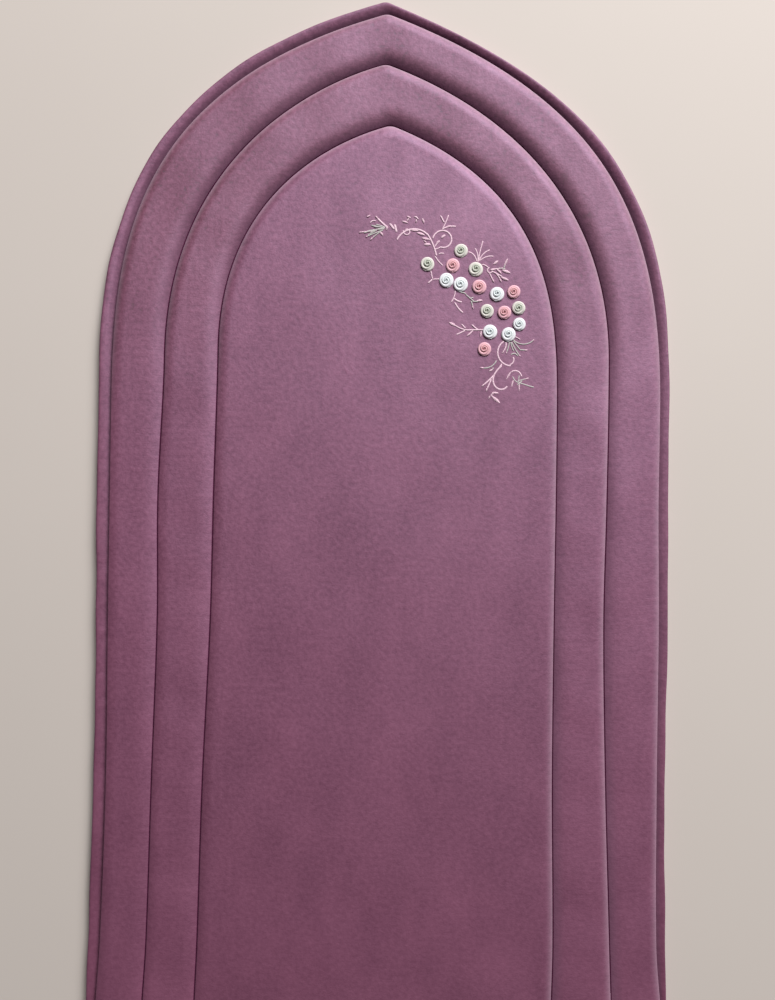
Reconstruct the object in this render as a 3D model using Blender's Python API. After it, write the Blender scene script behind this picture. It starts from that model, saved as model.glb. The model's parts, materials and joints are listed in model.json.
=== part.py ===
"""Padded velvet prayer rug with a pointed-arch outline.

The rug lies flat: X runs across it, Y from its foot to the point of its arch, and Z up. The origin is on
the floor, in the middle of the rug's box. All sizes are in metres.

A base cloth with a rolled edge carries three pads, one inside another: an outer band, a middle band and a
centre panel. The seams between them are drawn down, so each pad has its own crown. A spray of rolled-ribbon
roses is sewn on the upper right of the centre panel.
"""

import math
from collections import namedtuple

import bmesh
import bpy

# Whole rug
RUG_LENGTH = 1.200
RUG_WIDTH = 0.650
POINT_Y = RUG_LENGTH / 2
FOOT_Y = -RUG_LENGTH / 2
FOOT_EDGE = 0.012  # width of the rolled edge across the foot
FOOT_SEAM_Y = FOOT_Y + FOOT_EDGE
EDGE_CORNER = 0.022  # radius of the rug's two foot corners
SEAM_CORNER = EDGE_CORNER - FOOT_EDGE

# Heights above the floor
BASE_THICK = 0.003  # base cloth under the pads
SEAM_Z = 0.010  # depth to which the seams are drawn down in the arch
CROWN_Z = 0.020  # top of every pad
GAP = 0.0003  # clearance between neighbouring pieces
PAD_BED_Z = BASE_THICK + GAP

# Form of the pads. A pad comes up steeply at its outer rim, and falls off slowly toward the seam inside it.
# Its step is the share of its rise that is straight up at the seam. The higher its softness, the more of the
# rest lies close to the seam.
Shoulder = namedtuple("Shoulder", "reach step softness")
RIM = Shoulder(0.014, 0.22, 2.3)
SLOPE = Shoulder(0.025, 0.0, 3.4)
SWELL = 0.0024  # how much lower a band's crown is at its inner seam than at its rim
PANEL_RIM_STEPS = (0.0, 0.0005, 0.0015, 0.0032, 0.0056, 0.0092, RIM.reach)  # inward from the seam
BAND_COLUMNS = 12

# The stitches pull the seams down less along the legs than in the arch
LEG_DRAW = 0.36  # share of the arch's depth
LEG_DRAW_Y = 0.100
ARCH_DRAW_Y = 0.400

# Rolled edge, once round: the way from the outer edge (0) to the first seam (1), the height, and how far
# the roll falls towards the seam in the arch
EdgeRow = namedtuple("EdgeRow", "across height fall")
EDGE_ROLL = (
    EdgeRow(0.34, 0.0000, 0.0),
    EdgeRow(0.17, 0.0010, 0.0),
    EdgeRow(0.05, 0.0035, 0.0),
    EdgeRow(0.00, 0.0068, 0.0),
    EdgeRow(0.03, 0.0101, 0.0),
    EdgeRow(0.09, 0.0121, 0.0),
    EdgeRow(0.18, 0.0128, 0.0),
    EdgeRow(0.40, 0.0128, 0.0008),
    EdgeRow(0.62, 0.0128, 0.0024),
    EdgeRow(0.82, 0.0128, 0.0046),
    EdgeRow(1.00, 0.0128, 0.0068),
)

# Stations along each line
ARCH_STEPS = 20
ARCH_SAMPLES = 60  # for measuring an arch before its stations are spaced out
LEG_STEPS = 8
CORNER_STEPS = 4
STRAIGHT_LIFTS = (SEAM_CORNER, RIM.reach, 0.026)  # above the foot seam, where the legs run straight
STRAIGHT_TOP = FOOT_SEAM_Y + 0.040
LEG_TOP = 0.140  # where the stations of all the legs end, below their springs

# Heights of the leg widths in the table of lines: waist, hip, knee, shin and foot
LEG_HEIGHTS = (0.042, -0.092, -0.271, -0.451, STRAIGHT_TOP)

# One side of a line. A leg turns into the arch at its spring. The arch climbs by its rise before it bends
# in, and reaches its point along a straight pull that falls by the slope, in degrees.
Side = namedtuple("Side", "spring_x spring_y rise reach slope waist hip knee shin foot")
Line = namedtuple("Line", "point_x point_y foot_y corner_high corner_wide left right")

EDGE = Line(
    -0.002, POINT_Y, FOOT_Y, EDGE_CORNER, EDGE_CORNER,
    Side(0.3190, 0.195, 0.218, 0.225, 15.6, 0.3200, 0.3192, 0.3200, 0.3238, RUG_WIDTH / 2),
    Side(0.3205, 0.177, 0.258, 0.215, 22.3, 0.3206, 0.3220, 0.3206, 0.3235, RUG_WIDTH / 2),
)
FIRST_SEAM = Line(
    0.0, 0.5854, FOOT_SEAM_Y, SEAM_CORNER, SEAM_CORNER,
    Side(0.3028, 0.147, 0.155, 0.313, 16.1, 0.3031, 0.3035, 0.3035, 0.3080, 0.3129),
    Side(0.3084, 0.154, 0.202, 0.270, 20.4, 0.3079, 0.3097, 0.3095, 0.3112, 0.3180),
)
SECOND_SEAM = Line(
    -0.001, 0.5291, FOOT_SEAM_Y, SEAM_CORNER, 0.0,
    Side(0.2437, 0.200, 0.256, 0.033, 14.6, 0.2488, 0.2479, 0.2523, 0.2562, 0.2606),
    Side(0.2509, 0.198, 0.212, 0.098, 19.4, 0.2498, 0.2479, 0.2520, 0.2587, 0.2617),
)
THIRD_SEAM = Line(
    0.005, 0.4609, FOOT_SEAM_Y, SEAM_CORNER, 0.0,
    Side(0.1841, 0.209, 0.182, 0.056, 15.2, 0.1870, 0.1889, 0.1956, 0.1995, 0.2025),
    Side(0.1935, 0.144, 0.104, 0.200, 20.7, 0.1934, 0.1927, 0.1928, 0.1956, 0.1940),
)

# Ribbon roses
ROSE_SIDES = 18
ROSE_TIP = 0.07  # how far the tucked ribbon end stands out, as a share of the radius
ROSE_TIP_SHARPNESS = 6
# From the foot of a rose to its bud: share of the radius, height, and shift towards the tucked end
ROSE_RINGS = (
    (0.93, 0.0000, 0.00),
    (1.00, 0.0010, 0.00),
    (0.80, 0.0026, 0.00),
    (0.60, 0.0015, 0.06),
    (0.42, 0.0029, 0.04),
    (0.20, 0.0019, 0.10),
)
ROSE_BUD = (0.0027, 0.06)  # height and shift of the bud's tip

# across is a rose's diameter, and turn is the direction of its tucked ribbon end, in degrees from +X
Rose = namedtuple("Rose", "x y across ribbon turn")
ROSES = (
    Rose(0.0842, 0.3194, 0.0150, "sage", -80),
    Rose(0.0473, 0.3040, 0.0154, "sage", -115),
    Rose(0.0753, 0.3028, 0.0154, "pink", -95),
    Rose(0.1008, 0.2990, 0.0160, "sage", -110),
    Rose(0.0684, 0.2863, 0.0162, "white", -70),
    Rose(0.0842, 0.2820, 0.0162, "white", -95),
    Rose(0.1049, 0.2798, 0.0156, "pink", -85),
    Rose(0.1246, 0.2718, 0.0158, "white", -105),
    Rose(0.1431, 0.2745, 0.0146, "pink", -75),
    Rose(0.1139, 0.2530, 0.0150, "sage", -90),
    Rose(0.1330, 0.2517, 0.0148, "pink", -80),
    Rose(0.1487, 0.2568, 0.0148, "sage", -60),
    Rose(0.1174, 0.2301, 0.0158, "white", -85),
    Rose(0.1378, 0.2273, 0.0158, "white", -100),
    Rose(0.1497, 0.2388, 0.0142, "white", -90),
    Rose(0.1114, 0.2107, 0.0150, "pink", -95),
)

# Colours are linear red, green and blue
Finish = namedtuple("Finish", "colour roughness metallic")
VELVETS = {
    "backing": Finish((0.235, 0.105, 0.165), 0.95, 0.0),
    "outer_band": Finish((0.262, 0.122, 0.188), 0.90, 0.0),
    "middle_band": Finish((0.262, 0.118, 0.184), 0.90, 0.0),
    "centre_panel": Finish((0.275, 0.128, 0.197), 0.90, 0.0),
}
RIBBONS = {
    "white": Finish((0.83, 0.83, 0.87), 0.45, 0.0),
    "pink": Finish((0.79, 0.46, 0.54), 0.45, 0.0),
    "sage": Finish((0.62, 0.64, 0.56), 0.45, 0.0),
}


def clear_objects():
    """Removes every object that the file holds."""
    for thing in list(bpy.data.objects):
        bpy.data.objects.remove(thing, do_unlink=True)


def make_material(name, finish):
    """A plain Principled material."""
    material = bpy.data.materials.new(name)
    material.use_nodes = True
    shader = material.node_tree.nodes["Principled BSDF"]
    shader.inputs["Base Color"].default_value = (*finish.colour, 1.0)
    shader.inputs["Roughness"].default_value = finish.roughness
    shader.inputs["Metallic"].default_value = finish.metallic
    return material


def mix(low, high, share):
    """The number that lies this share of the way from low to high."""
    return low + (high - low) * share


def leg_width(side, height):
    """Half width of a line where its leg passes this height, on a smooth curve through its table row."""
    heights = (side.spring_y, *LEG_HEIGHTS)
    widths = (side.spring_x, side.waist, side.hip, side.knee, side.shin, side.foot)
    last = len(heights) - 1

    def slope(index):
        if index in (0, last):
            return 0.0
        return (widths[index + 1] - widths[index - 1]) / (heights[index + 1] - heights[index - 1])

    for upper in range(last):
        lower = upper + 1
        if height >= heights[lower] or lower == last:
            span = heights[lower] - heights[upper]
            s = (height - heights[upper]) / span
            bend_in = (2 * s**3 - 3 * s**2 + 1) * widths[upper] + (3 * s**2 - 2 * s**3) * widths[lower]
            bend_out = (s**3 - 2 * s**2 + s) * slope(upper) + (s**3 - s**2) * slope(lower)
            return bend_in + bend_out * span


def leg_points(line, side, sign):
    """One leg of a line, from the foot up. sign is -1 on the left and 1 on the right."""
    points = []
    for step in range(CORNER_STEPS, 0, -1):
        angle = math.pi / 2 * step / CORNER_STEPS
        inset = line.corner_wide * (1 - math.cos(angle))
        points.append((sign * (side.foot - inset), line.foot_y + line.corner_high * (1 - math.sin(angle))))
    for lift in STRAIGHT_LIFTS:
        points.append((sign * side.foot, FOOT_SEAM_Y + lift))
    for step in range(LEG_STEPS + 1):
        height = mix(STRAIGHT_TOP, LEG_TOP, step / LEG_STEPS)
        points.append((sign * leg_width(side, height), height))
    return points


def evenly(points, count):
    """This many places at equal steps along a run of points, the last of them at its end."""
    runs = [math.dist(here, there) for here, there in zip(points, points[1:])]
    step = sum(runs) / count
    places = []
    gone = 0.0
    for (ax, ay), (bx, by), run in zip(points, points[1:], runs):
        while len(places) < count - 1 and gone + run >= step * (len(places) + 1):
            share = (step * (len(places) + 1) - gone) / run
            places.append((mix(ax, bx, share), mix(ay, by, share)))
        gone += run
    return [*places, points[-1]]


def arch_points(line, side, sign):
    """One side of a line's arch, from above its leg to its point."""
    slope = math.radians(side.slope)
    spring = (sign * side.spring_x, side.spring_y)
    over_spring = (sign * side.spring_x, side.spring_y + side.rise)
    before_point = (
        line.point_x + sign * side.reach * math.cos(slope),
        line.point_y - side.reach * math.sin(slope),
    )
    point = (line.point_x, line.point_y)
    points = []
    for step in range(ARCH_SAMPLES):
        height = mix(LEG_TOP, side.spring_y, step / ARCH_SAMPLES)
        points.append((sign * leg_width(side, height), height))
    for step in range(ARCH_SAMPLES + 1):
        t = step / ARCH_SAMPLES
        weights = ((1 - t) ** 3, 3 * (1 - t) ** 2 * t, 3 * (1 - t) * t**2, t**3)
        pulls = (spring, over_spring, before_point, point)
        points.append(tuple(sum(w * pull[axis] for w, pull in zip(weights, pulls)) for axis in (0, 1)))
    return evenly(points, ARCH_STEPS)


def line_points(line):
    """A whole line, from its left foot over its point to its right foot."""
    left = leg_points(line, line.left, -1) + arch_points(line, line.left, -1)
    right = leg_points(line, line.right, 1) + arch_points(line, line.right, 1)
    return left + right[-2::-1]


def inset(points, distance):
    """A closed line moved inward by a distance, or outward where it is negative. It runs clockwise."""
    moved = []
    count = len(points)
    for index, (x, y) in enumerate(points):
        normals = []
        for start, end in ((index - 1, index), (index, (index + 1) % count)):
            run_x = points[end][0] - points[start][0]
            run_y = points[end][1] - points[start][1]
            length = math.hypot(run_x, run_y)
            normals.append((run_y / length, -run_x / length))
        sum_x = normals[0][0] + normals[1][0]
        sum_y = normals[0][1] + normals[1][1]
        reach = 2 * distance / (sum_x**2 + sum_y**2)
        moved.append((x + sum_x * reach, y + sum_y * reach))
    return moved


def crown(away, shoulder):
    """How far a pad has risen, from its step at the seam to 1 at its crown, this far away from the seam."""
    left = 1 - min(max(away / shoulder.reach, 0.0), 1.0)
    return 1 - (1 - shoulder.step) * left**shoulder.softness


def drawn(height):
    """How hard the stitches pull a seam down at this height up the rug, from LEG_DRAW to 1."""
    share = min(max((height - LEG_DRAW_Y) / (ARCH_DRAW_Y - LEG_DRAW_Y), 0.0), 1.0)
    return mix(LEG_DRAW, 1.0, share**2 * (3 - 2 * share))


def pad_top(height, top, rise):
    """How high a pad's top is, at this height up the rug and this share of its rise."""
    return top - (top - SEAM_Z) * drawn(height) * (1 - rise)


def add_ring(bm, points, height):
    """Vertices of a line at one height."""
    return [bm.verts.new((x, y, height)) for x, y in points]


def bridge(bm, first, second):
    """Faces between two closed rings with as many vertices as each other."""
    for here in range(len(first)):
        there = (here + 1) % len(first)
        bm.faces.new((first[here], first[there], second[there], second[here]))


def ladder(bm, ring):
    """Fills a flat ring with rungs from its left side to its right side, up to its point."""
    half = len(ring) // 2
    for step in range(half - 1):
        bm.faces.new((ring[step], ring[step + 1], ring[-2 - step], ring[-1 - step]))
    bm.faces.new((ring[half - 1], ring[half], ring[half + 1]))


def make_object(name, bm, material, sharp_from=50):
    """Turns a closed form into a named object that is smooth but for its edges over an angle in degrees."""
    bmesh.ops.recalc_face_normals(bm, faces=bm.faces)
    mesh = bpy.data.meshes.new(name)
    bm.to_mesh(mesh)
    bm.free()
    mesh.shade_smooth()
    mesh.set_sharp_from_angle(angle=math.radians(sharp_from))
    mesh.materials.append(material)
    piece = bpy.data.objects.new(name, mesh)
    bpy.context.collection.objects.link(piece)
    return piece


def make_backing(material):
    """Base cloth with its rolled edge: a shallow tray in which the pads lie."""
    outer = line_points(EDGE)
    wall = inset(line_points(FIRST_SEAM), -GAP / 2)
    bm = bmesh.new()
    rings = []
    for row in EDGE_ROLL:
        ring = []
        for (ax, ay), (bx, by) in zip(outer, wall):
            y = mix(ay, by, row.across)
            ring.append(bm.verts.new((mix(ax, bx, row.across), y, row.height - row.fall * drawn(y))))
        rings.append(ring)
    rings.append(add_ring(bm, wall, BASE_THICK))
    for first, second in zip(rings, rings[1:]):
        bridge(bm, first, second)
    ladder(bm, rings[0])
    ladder(bm, rings[-1])
    return make_object("backing", bm, material)


def make_band(name, outer_line, inner_line, material):
    """A padded band between two seams. Its crown falls off at both seams and at the foot."""
    outer = inset(line_points(outer_line), GAP / 2)
    inner = inset(line_points(inner_line), -GAP / 2)
    foot_y = FOOT_SEAM_Y + GAP / 2
    for foot in (0, -1):
        outer[foot] = (outer[foot][0], foot_y)
        inner[foot] = (inner[foot][0], foot_y)
    bm = bmesh.new()
    sections = []
    for (ax, ay), (bx, by) in zip(outer, inner):
        width = math.hypot(bx - ax, by - ay)
        section = [bm.verts.new((ax, ay, PAD_BED_Z))]
        for column in range(BAND_COLUMNS + 1):
            across = (1 - math.cos(math.pi * column / BAND_COLUMNS)) / 2
            x = mix(ax, bx, across)
            y = mix(ay, by, across)
            rise = crown(width * across, RIM) * crown(width * (1 - across), SLOPE) * crown(y - foot_y, RIM)
            top = CROWN_Z - SWELL * drawn(y) * across
            section.append(bm.verts.new((x, y, pad_top(y, top, rise))))
        section.append(bm.verts.new((bx, by, PAD_BED_Z)))
        sections.append(section)
    for first, second in zip(sections, sections[1:]):
        bridge(bm, first, second)
    for section in (sections[0], sections[-1]):
        for corner in range(1, len(section) - 1):
            bm.faces.new((section[0], section[corner], section[corner + 1]))
    return make_object(name, bm, material)


def make_centre_panel(material):
    """The centre panel: a rolled rim round a flat top."""
    whole = inset(line_points(THIRD_SEAM), GAP / 2)
    straight = CORNER_STEPS + len(STRAIGHT_LIFTS)
    outline = [whole[0], *whole[straight:-straight], whole[-1]]
    bm = bmesh.new()
    rings = [add_ring(bm, outline, PAD_BED_Z)]
    for step in PANEL_RIM_STEPS:
        rise = crown(step, RIM)
        rings.append([bm.verts.new((x, y, pad_top(y, CROWN_Z, rise))) for x, y in inset(outline, step)])
    for first, second in zip(rings, rings[1:]):
        bridge(bm, first, second)
    ladder(bm, rings[0])
    ladder(bm, rings[-1])
    return make_object("centre_panel", bm, material)


def rose_mesh(name, radius, material):
    """A rose of rolled ribbon: an outer turn, an inner turn and a bud. Its tucked end points along +X."""
    bm = bmesh.new()
    rings = []
    for share, height, shift in ROSE_RINGS:
        ring = []
        for side in range(ROSE_SIDES):
            angle = 2 * math.pi * side / ROSE_SIDES
            tip = 1 + ROSE_TIP * max(math.cos(angle), 0.0) ** ROSE_TIP_SHARPNESS
            x = radius * (share * tip * math.cos(angle) + shift)
            ring.append(bm.verts.new((x, radius * share * tip * math.sin(angle), height)))
        rings.append(ring)
    for first, second in zip(rings, rings[1:]):
        bridge(bm, first, second)
    bm.faces.new(rings[0])
    bud_height, bud_shift = ROSE_BUD
    bud = bm.verts.new((radius * bud_shift, 0.0, bud_height))
    for here in range(ROSE_SIDES):
        bm.faces.new((rings[-1][here], rings[-1][(here + 1) % ROSE_SIDES], bud))
    return make_object(name, bm, material)


def make_roses():
    """The sixteen roses, each its own object on the flat of the centre panel."""
    ribbons = {name: make_material(name + "_ribbon", finish) for name, finish in RIBBONS.items()}
    for number, rose in enumerate(ROSES, start=1):
        piece = rose_mesh(f"rosette_{number:02d}", rose.across / 2, ribbons[rose.ribbon])
        piece.location = (rose.x, rose.y, CROWN_Z + GAP)
        piece.rotation_euler = (0.0, 0.0, math.radians(rose.turn))


def main():
    """Builds the whole rug."""
    clear_objects()
    velvets = {name: make_material(name + "_velvet", finish) for name, finish in VELVETS.items()}
    make_backing(velvets["backing"])
    make_band("outer_band", FIRST_SEAM, SECOND_SEAM, velvets["outer_band"])
    make_band("middle_band", SECOND_SEAM, THIRD_SEAM, velvets["middle_band"])
    make_centre_panel(velvets["centre_panel"])
    make_roses()


main()
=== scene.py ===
"""Looks of a padded velvet prayer rug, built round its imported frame.

The rug lies flat: X runs across it, Y from its foot to the point of its arch, and Z up. All sizes are in
metres and all angles are in degrees, unless a name says otherwise. Each velvet piece is a fine mesh lofted
between the sewn lines of the rug, each rose is a wound ribbon, and the embroidery is laid stitch by stitch.
"""

from __future__ import annotations

import json
import logging
import math
from dataclasses import dataclass, field
from enum import Enum

import bpy
import numpy as np
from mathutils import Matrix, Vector

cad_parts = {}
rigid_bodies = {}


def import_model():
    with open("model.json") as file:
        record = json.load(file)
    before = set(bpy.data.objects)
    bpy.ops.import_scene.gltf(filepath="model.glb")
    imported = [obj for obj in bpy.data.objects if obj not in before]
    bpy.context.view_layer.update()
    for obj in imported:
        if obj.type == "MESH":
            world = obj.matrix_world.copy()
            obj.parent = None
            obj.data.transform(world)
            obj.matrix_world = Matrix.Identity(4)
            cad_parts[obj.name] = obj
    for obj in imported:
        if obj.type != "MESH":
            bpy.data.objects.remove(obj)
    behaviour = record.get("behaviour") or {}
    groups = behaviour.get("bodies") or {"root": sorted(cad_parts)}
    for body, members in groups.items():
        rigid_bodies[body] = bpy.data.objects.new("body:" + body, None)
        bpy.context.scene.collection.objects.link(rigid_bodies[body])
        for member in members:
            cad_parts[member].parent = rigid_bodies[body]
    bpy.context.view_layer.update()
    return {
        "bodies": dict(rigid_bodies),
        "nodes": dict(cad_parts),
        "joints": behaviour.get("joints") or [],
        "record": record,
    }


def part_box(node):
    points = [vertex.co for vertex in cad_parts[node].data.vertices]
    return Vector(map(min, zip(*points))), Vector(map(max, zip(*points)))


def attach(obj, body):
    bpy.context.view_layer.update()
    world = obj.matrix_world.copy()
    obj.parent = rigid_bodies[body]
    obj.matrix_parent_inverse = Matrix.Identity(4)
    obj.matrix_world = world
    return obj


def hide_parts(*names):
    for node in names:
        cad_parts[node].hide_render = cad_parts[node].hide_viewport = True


LOG = logging.getLogger("prayer_rug")
BODY = "root"

Colour = tuple[float, float, float]
Point = tuple[float, float]
Number = float | np.ndarray
Material = bpy.types.Material
Socket = bpy.types.NodeSocket
Feed = Socket | float | tuple
Inputs = dict[str | int, Feed]


class Tone(Enum):
    """The colours of the ribbons and the embroidery threads."""

    WHITE = "white"
    PINK = "pink"
    SAGE = "sage"


class Tip(Enum):
    """What an embroidered stem ends in."""

    PLAIN = "plain"
    KNOT = "knot"
    BUD = "bud"


# ---------------------------------------------------------------------------------------------------
# Sewn lines
# ---------------------------------------------------------------------------------------------------


@dataclass(frozen=True)
class RugSizes:
    """The rug's own sizes, which its sewn lines and pads share.

    Attributes:
        length: From the foot to the point of the arch.
        width: Across the foot.
        foot_edge: Width of the rolled edge across the foot.
        edge_corner: Radius of the rug's foot corners.
        base_thick: Thickness of the base cloth.
        seam_z: Height of the seams in the arch.
        crown_z: Height of the pads' crowns.
        gap: Width of the slit between two pads.
        swell: How far a band's crown falls towards the seam inside it.
        blunt: How far the rounding of a seam's point reaches on each side.
        straight: Length of leg that runs straight above the foot seam.
        leg_top: Height where the legs of all the lines end.
        rim_crease_shade: How far from its rim's seam a pad takes the painted seam shade.
        slope_crease_shade: How far from the seam at the foot of its slope a pad takes the painted seam
            shade.
        leg_draw: Pull of the stitches along the legs, as a share of their pull in the arch.
        leg_draw_y: Height below which they pull only that much.
        arch_draw_y: Height above which they pull in full.
    """

    length: float = 1.200
    width: float = 0.650
    foot_edge: float = 0.012
    edge_corner: float = 0.022
    base_thick: float = 0.003
    seam_z: float = 0.0100
    crown_z: float = 0.020
    gap: float = 0.0003
    swell: float = 0.0024
    blunt: float = 0.006
    straight: float = 0.040
    leg_top: float = 0.140
    rim_crease_shade: float = 0.0005
    slope_crease_shade: float = 0.0012
    leg_draw: float = 0.36
    leg_draw_y: float = 0.10
    arch_draw_y: float = 0.40

    @property
    def foot_seam_y(self) -> float:
        """Height of the seam across the foot."""
        return -self.length / 2 + self.foot_edge

    @property
    def straight_top(self) -> float:
        """Height above which the legs of the sewn lines stop running straight."""
        return self.foot_seam_y + self.straight

    @property
    def seam_corner(self) -> float:
        """Radius of the first seam's foot corners."""
        return self.edge_corner - self.foot_edge

    @property
    def bed_z(self) -> float:
        """Height of the pads' undersides."""
        return self.base_thick + self.gap


RUG = RugSizes()

# Heights at which the half widths of a leg are given.
LEG_HEIGHTS = (0.042, -0.092, -0.271, -0.451, RUG.straight_top)

# How finely a sewn line is laid out, and how much closer its stations lie towards the point.
CORNER_STEPS = 6
STRAIGHT_STEPS = 10
LEG_STEPS = 150
ARCH_STEPS = 128
ARCH_SAMPLES = 40 * ARCH_STEPS
ARCH_GRADING = 1.7


def mix(low: Number, high: Number, share: Number) -> Number:
    """The value that lies this share of the way from low to high."""
    return low + (high - low) * share


def eased(share: Number) -> Number:
    """A share from 0 to 1, made to start and end slowly."""
    return share**2 * (3 - 2 * share)


def run_length(points: np.ndarray) -> np.ndarray:
    """How far each station of a line is from its start."""
    steps = np.linalg.norm(np.diff(points, axis=0), axis=1)
    return np.concatenate(((0.0,), np.cumsum(steps)))


def from_point(stations: np.ndarray) -> np.ndarray:
    """How far each station of a sewn line is from the point of its arch, counted along it."""
    run = run_length(stations)
    return run - run[len(run) // 2]


def place_on(line: np.ndarray, along: np.ndarray, places: Number) -> np.ndarray:
    """The X and Y of places on a line, given how far along it they are."""
    return np.stack([np.interp(places, along, line[:, axis]) for axis in (0, 1)], axis=-1)


def blunted(line: np.ndarray, along: np.ndarray, reach: float) -> np.ndarray:
    """Rounds the point of an arch.

    Args:
        line: X and Y of each station.
        along: How far each station is from the point.
        reach: How far the rounding reaches on each side of the point.

    Returns:
        The rounded line.
    """
    point = line[len(line) // 2]
    start = place_on(line, along, -reach)
    end = place_on(line, along, reach)
    near = np.abs(along) < reach
    u = ((along[near] + reach) / (2 * reach))[:, None]
    rounded = line.copy()
    rounded[near] = (1 - u) ** 2 * start + 2 * u * (1 - u) * point + u**2 * end
    return rounded


def inset(points: np.ndarray, distance: float) -> np.ndarray:
    """Moves a closed line that runs clockwise inward, or outward where the distance is negative.

    Args:
        points: X and Y of each station.
        distance: How far the line moves.

    Returns:
        The moved line.
    """
    run = np.roll(points, -1, axis=0) - points
    run /= np.linalg.norm(run, axis=1)[:, None]
    normal = np.column_stack((run[:, 1], -run[:, 0]))
    both = normal + np.roll(normal, 1, axis=0)
    return points + both * (2 * distance / (both**2).sum(axis=1))[:, None]


def distance_to(line: np.ndarray, places: np.ndarray) -> np.ndarray:
    """How far each of a list of places is from a line.

    Args:
        line: X and Y of each station of the line.
        places: X and Y of each place.

    Returns:
        The distance to the nearest spot on the line.
    """
    start = line[None, :-1]
    run = (line[1:] - line[:-1])[None]
    along = places[:, None] - start
    share = np.clip((along * run).sum(axis=2) / (run**2).sum(axis=2), 0.0, 1.0)
    return np.linalg.norm(along - share[..., None] * run, axis=2).min(axis=1)


@dataclass(frozen=True)
class LineSide:
    """One side of a sewn line.

    The leg turns into the arch at its spring. The arch climbs by its rise before it bends in, and it
    reaches its point along a straight pull that falls by the slope.

    Attributes:
        spring: Half width and height of the spring.
        rise: Length of the upright pull above the spring.
        reach: Length of the pull at the point.
        slope: Angle by which that pull falls.
        widths: Half widths of the leg at LEG_HEIGHTS.
    """

    spring: Point
    rise: float
    reach: float
    slope: float
    widths: tuple[float, ...]

    def width_at(self, height: np.ndarray) -> np.ndarray:
        """Half width of the leg on a smooth curve through its widths.

        Args:
            height: Y of each station.

        Returns:
            The half width at each station.
        """
        knots = np.array((self.spring[1], *LEG_HEIGHTS))[::-1]
        widths = np.array((self.spring[0], *self.widths))[::-1]
        slopes = np.zeros(len(knots))
        slopes[1:-1] = (widths[2:] - widths[:-2]) / (knots[2:] - knots[:-2])
        low = np.clip(np.searchsorted(knots, height, side="right") - 1, 0, len(knots) - 2)
        span = knots[low + 1] - knots[low]
        s = (height - knots[low]) / span
        ends = (2 * s**3 - 3 * s**2 + 1) * widths[low] + (3 * s**2 - 2 * s**3) * widths[low + 1]
        bends = (s**3 - 2 * s**2 + s) * slopes[low] + (s**3 - s**2) * slopes[low + 1]
        return ends + bends * span


@dataclass(frozen=True)
class SewnLine:
    """A line that runs up the left leg, over the point of the arch and down the right leg.

    Attributes:
        point: X and Y of the point of its arch.
        foot_y: Height of its two feet.
        corner_high: Height of its foot corners.
        corner_wide: Width of its foot corners.
        left: Its left side.
        right: Its right side.
    """

    point: Point
    foot_y: float
    corner_high: float
    corner_wide: float
    left: LineSide
    right: LineSide

    def _leg(self, side: LineSide, sign: float) -> np.ndarray:
        """Lays out one leg, from the foot up to the height where all the lines' legs end.

        Args:
            side: The side that the leg is on.
            sign: -1 on the left and 1 on the right.

        Returns:
            X and Y of its stations.
        """
        turn = np.radians(np.linspace(90, 0, CORNER_STEPS, endpoint=False))
        corner_x = side.widths[-1] - self.corner_wide * (1 - np.cos(turn))
        corner_y = self.foot_y + self.corner_high * (1 - np.sin(turn))
        straight_foot = RUG.foot_seam_y + RUG.seam_corner
        straight_y = np.linspace(straight_foot, RUG.straight_top, STRAIGHT_STEPS, endpoint=False)
        straight_x = np.full(STRAIGHT_STEPS, side.widths[-1])
        leg_y = np.linspace(RUG.straight_top, RUG.leg_top, LEG_STEPS + 1)
        x = np.concatenate((corner_x, straight_x, side.width_at(leg_y)))
        y = np.concatenate((corner_y, straight_y, leg_y))
        return np.column_stack((sign * x, y))

    def _arch(self, side: LineSide, sign: float) -> np.ndarray:
        """Lays out one side of the arch, from above the leg to the point.

        Args:
            side: The side.
            sign: -1 on the left and 1 on the right.

        Returns:
            X and Y of its stations, which lie closer together towards the point.
        """
        slope = math.radians(side.slope)
        spring = np.array((sign * side.spring[0], side.spring[1]))
        over_spring = spring + (0, side.rise)
        point = np.array(self.point)
        before_point = point + (sign * side.reach * math.cos(slope), -side.reach * math.sin(slope))
        leg_y = np.linspace(RUG.leg_top, side.spring[1], ARCH_STEPS, endpoint=False)
        leg = np.column_stack((sign * side.width_at(leg_y), leg_y))
        t = np.linspace(0, 1, ARCH_SAMPLES)[:, None]
        weights = ((1 - t) ** 3, 3 * (1 - t) ** 2 * t, 3 * (1 - t) * t**2, t**3)
        curve = sum(w * pull for w, pull in zip(weights, (spring, over_spring, before_point, point)))
        curve = np.vstack((leg, curve))
        run = run_length(curve)
        share = np.linspace(0, 1, ARCH_STEPS + 1)[1:]
        return place_on(curve, run, run[-1] * (1 - (1 - share) ** ARCH_GRADING))

    def stations(self) -> np.ndarray:
        """Lays out the whole line, from its left foot to its right foot.

        Returns:
            X and Y of its stations, with the point of the arch in their middle.
        """
        left = np.vstack((self._leg(self.left, -1), self._arch(self.left, -1)))
        right = np.vstack((self._leg(self.right, 1), self._arch(self.right, 1)))
        return np.vstack((left, right[-2::-1]))

    def offset(self, distance: float, reach: float = RUG.blunt) -> np.ndarray:
        """The line moved inward by a distance, with its point rounded over a reach on each side."""
        stations = self.stations()
        return blunted(inset(stations, distance), from_point(stations), reach)


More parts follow.
